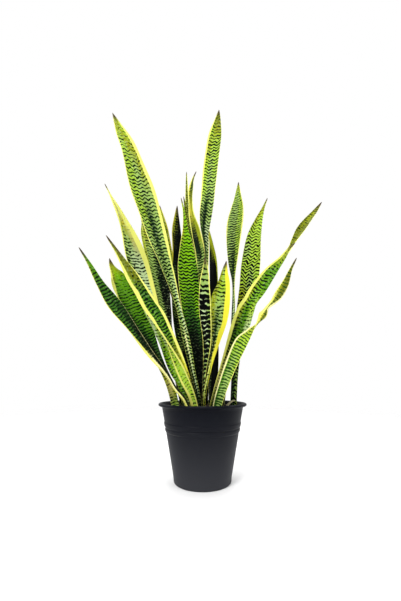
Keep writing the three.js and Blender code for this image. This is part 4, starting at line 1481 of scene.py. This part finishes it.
         (40, 33, 587, 30, -30), (38, 56, 694, 28, -26), (31, 73, 770, 14, -21),
         (21, 85, 834, 3, -16)),
        "leaf_dark",
        LeafFinish(Weave.FLECKS, (
            even_zone(240.0, Tint.INK, 0.54, (0.1, 0.4)),
            even_zone(580.0, Tint.INK, 0.54, (0.2, 1.0)),
            even_zone(640.0, Tint.INK, 0.54, (0.2, 3.0)),
            even_zone(700.0, Tint.INK, 0.54, (0.8, 6.0)),
            Zone(745.0, (Tint.DEEP, Tint.KHAKI, Tint.LIME), (0.32, 0.22, 0.1), (0.8, 8.0)),
            Zone(790.0, (Tint.OLIVE, Tint.OLIVE, Tint.LEMON), (0.1, 0.1, 0.1), (0.5, 6.0)),
            Zone(834.0, (Tint.BROWN, Tint.KHAKI, Tint.OLIVE), (0.32, 0.32, 0.32), (1.0, 2.0)),
        ), dark=Tint.INK, margins=(Tint.OLIVE, Tint.OLIVE), silver=0.0),
    ),
    Leaf(
        "leaf_left_pale", (0.55, 0.14), 2.0,
        ((-42, -20, 175, 20, 10), (-59, -23, 287, 28, 17), (-83, -27, 334, 31, 22),
         (-100, -32, 377, 35, 27), (-117, -38, 424, 32, 33), (-134, -45, 468, 42, 38),
         (-167, -58, 566, 59, 39), (-189, -68, 648, 68, 39), (-209, -76, 719, 43, 39),
         (-232, -83, 775, 22, 39), (-254, -88, 819, 6, 34), (-269, -92, 849, 3, 34)),
        "leaf_pale",
        LeafFinish(Weave.FLECKS, (
            Zone(240.0, (Tint.DEEP, Tint.MOSS, Tint.KHAKI), (0.54, 0.43, 0.32), (0.3, 0.5)),
            Zone(290.0, (Tint.FRESH, Tint.GRASS, Tint.GREEN), (0.43, 0.32, 0.38), (0.6, 0.3)),
            Zone(340.0, (Tint.FRESH, Tint.FRESH, Tint.LIME), (0.49, 0.27, 0.1), (0.3, 0.3)),
            Zone(400.0, (Tint.FRESH, Tint.FRESH, Tint.LIME), (0.38, 0.32, 0.22), (0.3, 1.0)),
            Zone(450.0, (Tint.SILVER, Tint.LIME, Tint.SILVER), (0.32, 0.32, 0.32), (0.3, 3.0)),
            Zone(520.0, (Tint.SILVER, Tint.SAGE, Tint.SILVER), (0.38, 0.38, 0.32), (0.6, 8.0)),
            Zone(600.0, (Tint.SAGE, Tint.SILVER, Tint.SILVER), (0.54, 0.49, 0.38), (2.0, 11.0)),
            Zone(650.0, (Tint.SAGE, Tint.SILVER, Tint.SILVER), (0.59, 0.49, 0.38), (2.5, 13.0)),
            Zone(700.0, (Tint.SAGE, Tint.SAGE, Tint.STRAW), (0.49, 0.38, 0.22), (4.0, 14.0)),
            Zone(745.0, (Tint.OLIVE, Tint.GOLD, Tint.LEMON), (0.22, 0.22, 0.0), (5.0, 10.0)),
            Zone(780.0, (Tint.STRAW, Tint.STRAW, Tint.LEMON), (0.0, 0.0, 0.0), (5.0, 5.0)),
            even_zone(849.0, Tint.STRAW, 0.0, (1.0, 1.0)),
        ), core=(-0.45, 0.1), dark=Tint.DEEP, margins=(Tint.LEMON, Tint.LEMON), silver=0.45),
    ),
    Leaf(
        "leaf_left_hidden", (0.5, 0.16), 1.0,
        ((-50, 30, 174, 18, 10), (-84, 39, 344, 28, 21), (-121, 54, 504, 33, 36),
         (-152, 69, 642, 47, 31), (-182, 80, 746, 35, 31), (-201, 88, 810, 22, 31),
         (-209, 95, 862, 3, 26)),
        "leaf_dark",
        LeafFinish(Weave.FLECKS, (
            even_zone(240.0, Tint.INK, 0.54, (0.3, 0.5)),
            even_zone(600.0, Tint.INK, 0.54, (1.0, 1.0)),
            Zone(690.0, (Tint.OLIVE, Tint.LIME, Tint.GREEN), (0.22, 0.22, 0.22), (4.0, 2.0)),
            Zone(750.0, (Tint.OLIVE, Tint.LIME, Tint.GREEN), (0.32, 0.32, 0.32), (1.0, 2.0)),
            even_zone(862.0, Tint.OLIVE, 0.22, (0.6, 1.0)),
        ), margins=(Tint.LEMON, Tint.GOLD)),
    ),
    Leaf(
        "leaf_left_mottled", (0.6, 0.16), 1.0,
        ((-18, -49, 182, 16, 0), (-29, -49, 256, 20, 2), (-58, -50, 322, 25, 8),
         (-88, -49, 405, 26, 15), (-102, -42, 459, 24, 22), (-111, -25, 517, 33, 29),
         (-132, -7, 620, 50, 29), (-156, 4, 717, 45, 32), (-179, 13, 800, 28, 32),
         (-203, 22, 873, 3, 29)),
        "leaf_pale",
        LeafFinish(Weave.FINE_WAVES, (
            Zone(240.0, (Tint.LEMON, Tint.LIME, Tint.LIME), (0.22, 0.22, 0.38), (7.0, 1.5)),
            Zone(300.0, (Tint.LIME, Tint.LIME, Tint.LIME), (0.16, 0.16, 0.22), (6.0, 1.5)),
            Zone(360.0, (Tint.LIME, Tint.LIME, Tint.LIME), (0.27, 0.16, 0.1), (4.0, 0.5)),
            Zone(410.0, (Tint.LIME, Tint.LIME, Tint.INK), (0.32, 0.22, 0.54), (2.0, 0.2)),
            even_zone(450.0, Tint.INK, 0.54, (0.4, 0.2)),
            Zone(490.0, (Tint.SAGE, Tint.SAGE, Tint.INK), (0.38, 0.54, 0.54), (0.5, 0.3)),
            Zone(560.0, (Tint.SAGE, Tint.DEEP, Tint.INK), (0.38, 0.76, 0.54), (0.3, 0.2)),
            Zone(620.0, (Tint.SAGE, Tint.MOSS, Tint.DEEP), (0.32, 0.65, 0.54), (0.3, 0.4)),
            Zone(700.0, (Tint.SAGE, Tint.SAGE, Tint.MOSS), (0.38, 0.49, 0.65), (0.4, 0.8)),
            Zone(760.0, (Tint.OLIVE, Tint.SAGE, Tint.MOSS), (0.43, 0.38, 0.54), (0.6, 0.8)),
            even_zone(873.0, Tint.OLIVE, 0.32, (1.0, 1.0)),
        ), core=(-0.25, 0.05), dark=Tint.INK, margins=(Tint.LEMON, Tint.LEMON), silver=0.3),
    ),
    Leaf(
        "leaf_left_arching", (0.45, 0.18), 1.5,
        ((-6, -55, 180, 12, 60), (-18, -63, 253, 12, 64), (-45, -76, 328, 14, 59),
         (-77, -88, 397, 28, 40), (-118, -104, 471, 42, 35), (-143, -113, 508, 46, 32),
         (-162, -123, 541, 39, 30), (-179, -132, 568, 37, 30), (-193, -140, 592, 28, 30),
         (-215, -154, 630, 12, 30), (-237, -170, 663, 3, 30)),
        "leaf_green",
        LeafFinish(Weave.FLECKS, (
            Zone(240.0, (Tint.SAGE, Tint.INK, Tint.INK), (0.43, 0.54, 0.54), (6.0, 0.1)),
            Zone(300.0, (Tint.LEMON, Tint.OLIVE, Tint.INK), (0.1, 0.32, 0.54), (8.0, 0.1)),
            Zone(345.0, (Tint.LIME, Tint.OLIVE, Tint.YELLOW), (0.22, 0.1, 0.1), (8.0, 0.4)),
            Zone(390.0, (Tint.GRASS, Tint.KHAKI, Tint.OLIVE), (0.54, 0.32, 0.1), (7.0, 8.0)),
            Zone(440.0, (Tint.GRASS, Tint.GRASS, Tint.GRASS), (0.49, 0.54, 0.54), (7.0, 7.0)),
            Zone(490.0, (Tint.GRASS, Tint.GRASS, Tint.GREEN), (0.43, 0.54, 0.43), (11.0, 6.0)),
            Zone(540.0, (Tint.LIME, Tint.GREEN, Tint.GREEN), (0.32, 0.49, 0.43), (12.0, 5.0)),
            Zone(580.0, (Tint.LIME, Tint.KHAKI, Tint.KHAKI), (0.32, 0.22, 0.32), (10.0, 3.0)),
            Zone(610.0, (Tint.OLIVE, Tint.KHAKI, Tint.KHAKI), (0.1, 0.1, 0.1), (5.0, 1.0)),
            Zone(640.0, (Tint.KHAKI, Tint.KHAKI, Tint.BROWN), (0.1, 0.1, 0.1), (1.0, 0.6)),
            even_zone(663.0, Tint.BROWN, 0.1, (1.0, 0.5)),
        ), core=(-0.4, 0.3), dark=Tint.DEEP, margins=(Tint.LEMON, Tint.LEMON), silver=0.15),
    ),
    Leaf(
        "leaf_left_broad", (0.6, 0.14), 1.5,
        ((-72, -27, 177, 18, 10), (-85, -32, 250, 23, 14), (-99, -39, 301, 23, 20),
         (-119, -46, 347, 23, 26), (-143, -53, 396, 33, 31), (-169, -60, 443, 57, 34),
         (-201, -73, 516, 54, 34), (-215, -79, 545, 56, 34), (-229, -86, 573, 49, 34),
         (-234, -91, 593, 42, 34), (-242, -95, 608, 25, 34), (-248, -99, 621, 14, 34),
         (-252, -104, 639, 3, 34)),
        "leaf_dark",
        LeafFinish(Weave.BARS, (
            Zone(230.0, (Tint.SAGE, Tint.GRASS, Tint.SAGE), (0.49, 0.43, 0.49), (0.6, 0.5)),
            Zone(280.0, (Tint.STRAW, Tint.STRAW, Tint.OLIVE), (0.32, 0.1, 0.32), (1.0, 0.4)),
            Zone(315.0, (Tint.OLIVE, Tint.STRAW, Tint.INK), (0.32, 0.32, 0.54), (1.0, 0.3)),
            Zone(350.0, (Tint.INK, Tint.KHAKI, Tint.INK), (0.54, 0.54, 0.54), (0.4, 0.3)),
            Zone(390.0, (Tint.INK, Tint.INK, Tint.MOSS), (0.54, 0.54, 0.43), (0.2, 0.3)),
            Zone(430.0, (Tint.INK, Tint.DEEP, Tint.GREEN), (0.54, 0.54, 0.54), (0.2, 0.3)),
            Zone(465.0, (Tint.DEEP, Tint.GREEN, Tint.GRASS), (0.59, 0.54, 0.43), (0.3, 1.5)),
            Zone(500.0, (Tint.GREEN, Tint.GRASS, Tint.GRASS), (0.54, 0.38, 0.45), (1.0, 3.0)),
            Zone(530.0, (Tint.GRASS, Tint.GRASS, Tint.GRASS), (0.43, 0.38, 0.38), (3.5, 0.8)),
            even_zone(566.0, Tint.GRASS, 0.27, (10.0, 0.5)),
            Zone(595.0, (Tint.OLIVE, Tint.FRESH, Tint.GRASS), (0.22, 0.22, 0.22), (5.0, 0.8)),
            even_zone(620.0, Tint.OLIVE, 0.16, (2.0, 1.0)),
            even_zone(639.0, Tint.BROWN, 0.1, (1.0, 0.5)),
        ), margins=(Tint.LEMON, Tint.SAGE), silver=0.08),
    ),
    Leaf(
        "leaf_lowest_left", (0.45, 0.16), 1.5,
        ((-22, -80, 183, 11, 20), (-49, -80, 251, 12, 24), (-78, -84, 289, 11, 29),
         (-100, -89, 326, 13, 34), (-147, -102, 385, 22, 43), (-187, -119, 445, 29, 44),
         (-229, -138, 504, 37, 36), (-258, -157, 552, 21, 36), (-276, -175, 591, 10, 36),
         (-293, -192, 622, 3, 36)),
        "leaf_green",
        LeafFinish(Weave.BARS, (
            Zone(240.0, (Tint.GOLD, Tint.LEMON, Tint.INK), (0.1, 0.05, 0.54), (0.3, 0.2)),
            Zone(290.0, (Tint.STRAW, Tint.CREAM, Tint.INK), (0.1, 0.0, 0.54), (1.0, 0.2)),
            Zone(340.0, (Tint.STRAW, Tint.CREAM, Tint.INK), (0.22, 0.0, 0.54), (1.5, 0.2)),
            Zone(365.0, (Tint.STRAW, Tint.CREAM, Tint.INK), (0.1, 0.1, 0.54), (5.0, 0.6)),
            Zone(385.0, (Tint.LEMON, Tint.KHAKI, Tint.INK), (0.22, 0.54, 0.54), (9.0, 0.8)),
            Zone(405.0, (Tint.OLIVE, Tint.DEEP, Tint.INK), (0.43, 0.54, 0.54), (7.0, 0.8)),
            Zone(440.0, (Tint.GREEN, Tint.GREEN, Tint.INK), (0.54, 0.54, 0.54), (2.5, 0.9)),
            Zone(500.0, (Tint.GREEN, Tint.GREEN, Tint.MOSS), (0.43, 0.45, 0.43), (2.0, 0.5)),
            Zone(550.0, (Tint.GREEN, Tint.GREEN, Tint.GREEN), (0.43, 0.54, 0.54), (1.2, 0.5)),
            Zone(590.0, (Tint.OLIVE, Tint.GRASS, Tint.GRASS), (0.16, 0.16, 0.16), (0.6, 0.5)),
            even_zone(622.0, Tint.BROWN, 0.1, (0.5, 0.5)),
        ), core=(-0.55, 0.1), margins=(Tint.LEMON, Tint.CREAM), silver=0.12),
    ),
    Leaf(
        "leaf_back_left", (0.5, 0.16), 1.5,
        ((-37, 46, 172, 18, 0), (-52, 61, 343, 29, 12), (-72, 81, 495, 33, 27),
         (-91, 94, 590, 39, 32), (-113, 106, 672, 50, 32), (-138, 126, 809, 50, 32),
         (-148, 139, 887, 36, 32), (-156, 150, 956, 3, 32)),
        "leaf_dark",
        LeafFinish(Weave.FLECKS, (
            even_zone(240.0, Tint.INK, 0.54, (0.5, 0.5)),
            even_zone(650.0, Tint.INK, 0.54, (0.5, 2.0)),
            Zone(740.0, (Tint.DEEP, Tint.MOSS, Tint.OLIVE), (0.32, 0.32, 0.32), (1.0, 4.0)),
            Zone(850.0, (Tint.DEEP, Tint.MOSS, Tint.KHAKI), (0.22, 0.22, 0.22), (1.0, 3.0)),
            even_zone(956.0, Tint.OLIVE, 0.22, (1.0, 3.0)),
        ), margins=(Tint.GOLD, Tint.GOLD)),
    ),
)

DRY_SHEATH = Blade(
    "dry_sheath", (0.4, 0.3), 0.0,
    ((68, -24, 205, 7, -10), (72, -24, 228, 7, -10), (80, -23, 241, 6, -10),
     (90, -21, 248, 5, -10), (100, -19, 250, 3, -10)),
)


# ---- Studio ----


@dataclass(frozen=True)
class Softbox:
    """A square soft light.

    Attributes:
        name: Its name.
        place: Where it stands, in metres.
        aim: What it points at, in metres.
        size: Length of its side, in metres.
        power: Its power, in watts.
    """

    name: str
    place: Point
    aim: Point
    size: float
    power: float

    def light(self) -> None:
        """Puts the light in the scene."""
        data = bpy.data.lights.new(self.name, "AREA")
        data.shape = "SQUARE"
        data.size = self.size
        data.energy = self.power
        lamp = bpy.data.objects.new(self.name, data)
        bpy.context.scene.collection.objects.link(lamp)
        lamp.location = self.place
        way = Vector(self.aim) - Vector(self.place)
        lamp.rotation_euler = way.to_track_quat("-Z", "Y").to_euler()


@dataclass
class Studio:
    """A plain pale floor that fades out, a white room of soft light, and the camera.

    Attributes:
        eye: The camera's place, in metres. It looks level along +Y.
        focal_pixels: Its focal length in pixels of the picture.
        horizon_pixels: How far its horizon lies under the middle of the picture, in pixels.
        picture_height: The picture's long side, in pixels.
        floor_radius: Radius of the floor, in metres.
        floor_solid: Radius within which the floor is solid, in metres.
        floor_colour: Its colour.
        softboxes: The lights.
    """

    eye: Point = (-0.0062, -0.8, 0.301)
    focal_pixels: float = 258.0
    horizon_pixels: float = 83.0
    picture_height: float = 601.0
    floor_radius: float = 6.0
    floor_solid: float = 0.9
    floor_colour: Colour = (246, 246, 246)
    softboxes: tuple[Softbox, ...] = (
        Softbox("key_light", (-1.3, -1.9, 2.3), (0.0, 0.0, 0.6), 1.2, 76.0),
        Softbox("fill_light", (1.9, -1.4, 1.6), (0.0, 0.0, 0.6), 1.2, 22.0),
        Softbox("top_light", (0.1, 0.4, 2.8), (0.0, 0.0, 0.6), 1.4, 40.0),
    )

    SENSOR_WIDTH = 36.0
    NEAREST = 0.02
    FLOOR_ROUGHNESS = 0.75
    FLOOR_GONE = 0.5
    FLOOR_SIDES = 96
    WHITE = (1.0, 1.0, 1.0, 1.0)
    ROOM_DIMMEST = 0.28
    ROOM_GAIN = 0.8
    ROOM_RANGE = (-0.7, 0.5)

    def build(self) -> None:
        """Sets up the camera, the floor and the lights."""
        self._camera()
        self._floor()
        self._world()
        for softbox in self.softboxes:
            softbox.light()
        bpy.context.scene.view_settings.view_transform = "Standard"
        LOG.info("studio: floor, room and %d lights", len(self.softboxes))

    def _camera(self) -> None:
        """Makes the camera at the photograph's viewpoint."""
        data = bpy.data.cameras.new("camera")
        data.sensor_width = self.SENSOR_WIDTH
        data.lens = data.sensor_width * self.focal_pixels / self.picture_height
        data.shift_y = self.horizon_pixels / self.picture_height
        data.clip_start = self.NEAREST
        camera = bpy.data.objects.new("camera", data)
        bpy.context.scene.collection.objects.link(camera)
        camera.location = self.eye
        camera.rotation_euler = (math.radians(90.0), 0.0, 0.0)
        bpy.context.scene.camera = camera

    def _floor(self) -> None:
        """Makes the floor, which fades into the white room."""
        material, graph, shader = new_surface("studio_floor", {"Roughness": self.FLOOR_ROUGHNESS})
        shader.inputs["Base Color"].default_value = linear(self.floor_colour)
        x, y, _ = graph.separate(graph.place())
        distance = graph.math("SQRT", x * x + y * y)
        shown = 1 - graph.step(distance, self.floor_solid, self.floor_radius * self.FLOOR_GONE)
        feed(graph, shader, {"Alpha": shown})
        angles = np.arange(self.FLOOR_SIDES) * math.tau / self.FLOOR_SIDES
        rim = np.column_stack((np.cos(angles), np.sin(angles), np.zeros(self.FLOOR_SIDES)))
        points = rim * self.floor_radius / MM
        floor = mesh_object("floor", points, [tuple(range(self.FLOOR_SIDES))], material)

    def _world(self) -> None:
        """Makes the white room, which is dimmer behind the camera."""
        world = bpy.data.worlds.new("white_room")
        world.use_nodes = True
        bpy.context.scene.world = world
        graph = Graph(world.node_tree)
        way = graph.wire("ShaderNodeTexCoord", {}, {}, "Generated")
        ahead = graph.separate(way)[1]
        glow = self.ROOM_DIMMEST + self.ROOM_GAIN * graph.share(ahead, *self.ROOM_RANGE)
        room = graph.wire("ShaderNodeBackground", {}, {"Color": self.WHITE, "Strength": glow})
        backdrop = graph.wire("ShaderNodeBackground", {}, {"Color": self.WHITE, "Strength": 1.0})
        seen = graph.wire("ShaderNodeLightPath", {}, {}, "Is Camera Ray")
        mixed = graph.wire("ShaderNodeMixShader", {}, {0: seen, 1: room, 2: backdrop})
        graph.node("ShaderNodeOutputWorld", {}, {"Surface": mixed})


def main() -> None:
    """Builds the studio, the pot, the soil and the leaves."""
    logging.basicConfig(level=logging.INFO, format="%(message)s")
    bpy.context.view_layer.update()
    Studio().build()
    Pot().build()
    Soil().build()
    for number, leaf in enumerate(LEAVES):
        leaf.grow(number)
    sheath = DRY_SHEATH.build("dry_sheath_strip", DryFinish().material())
    hand_over(sheath, DRY_SHEATH.name, "dry_sheath")


if __name__ == "__main__":
    main()
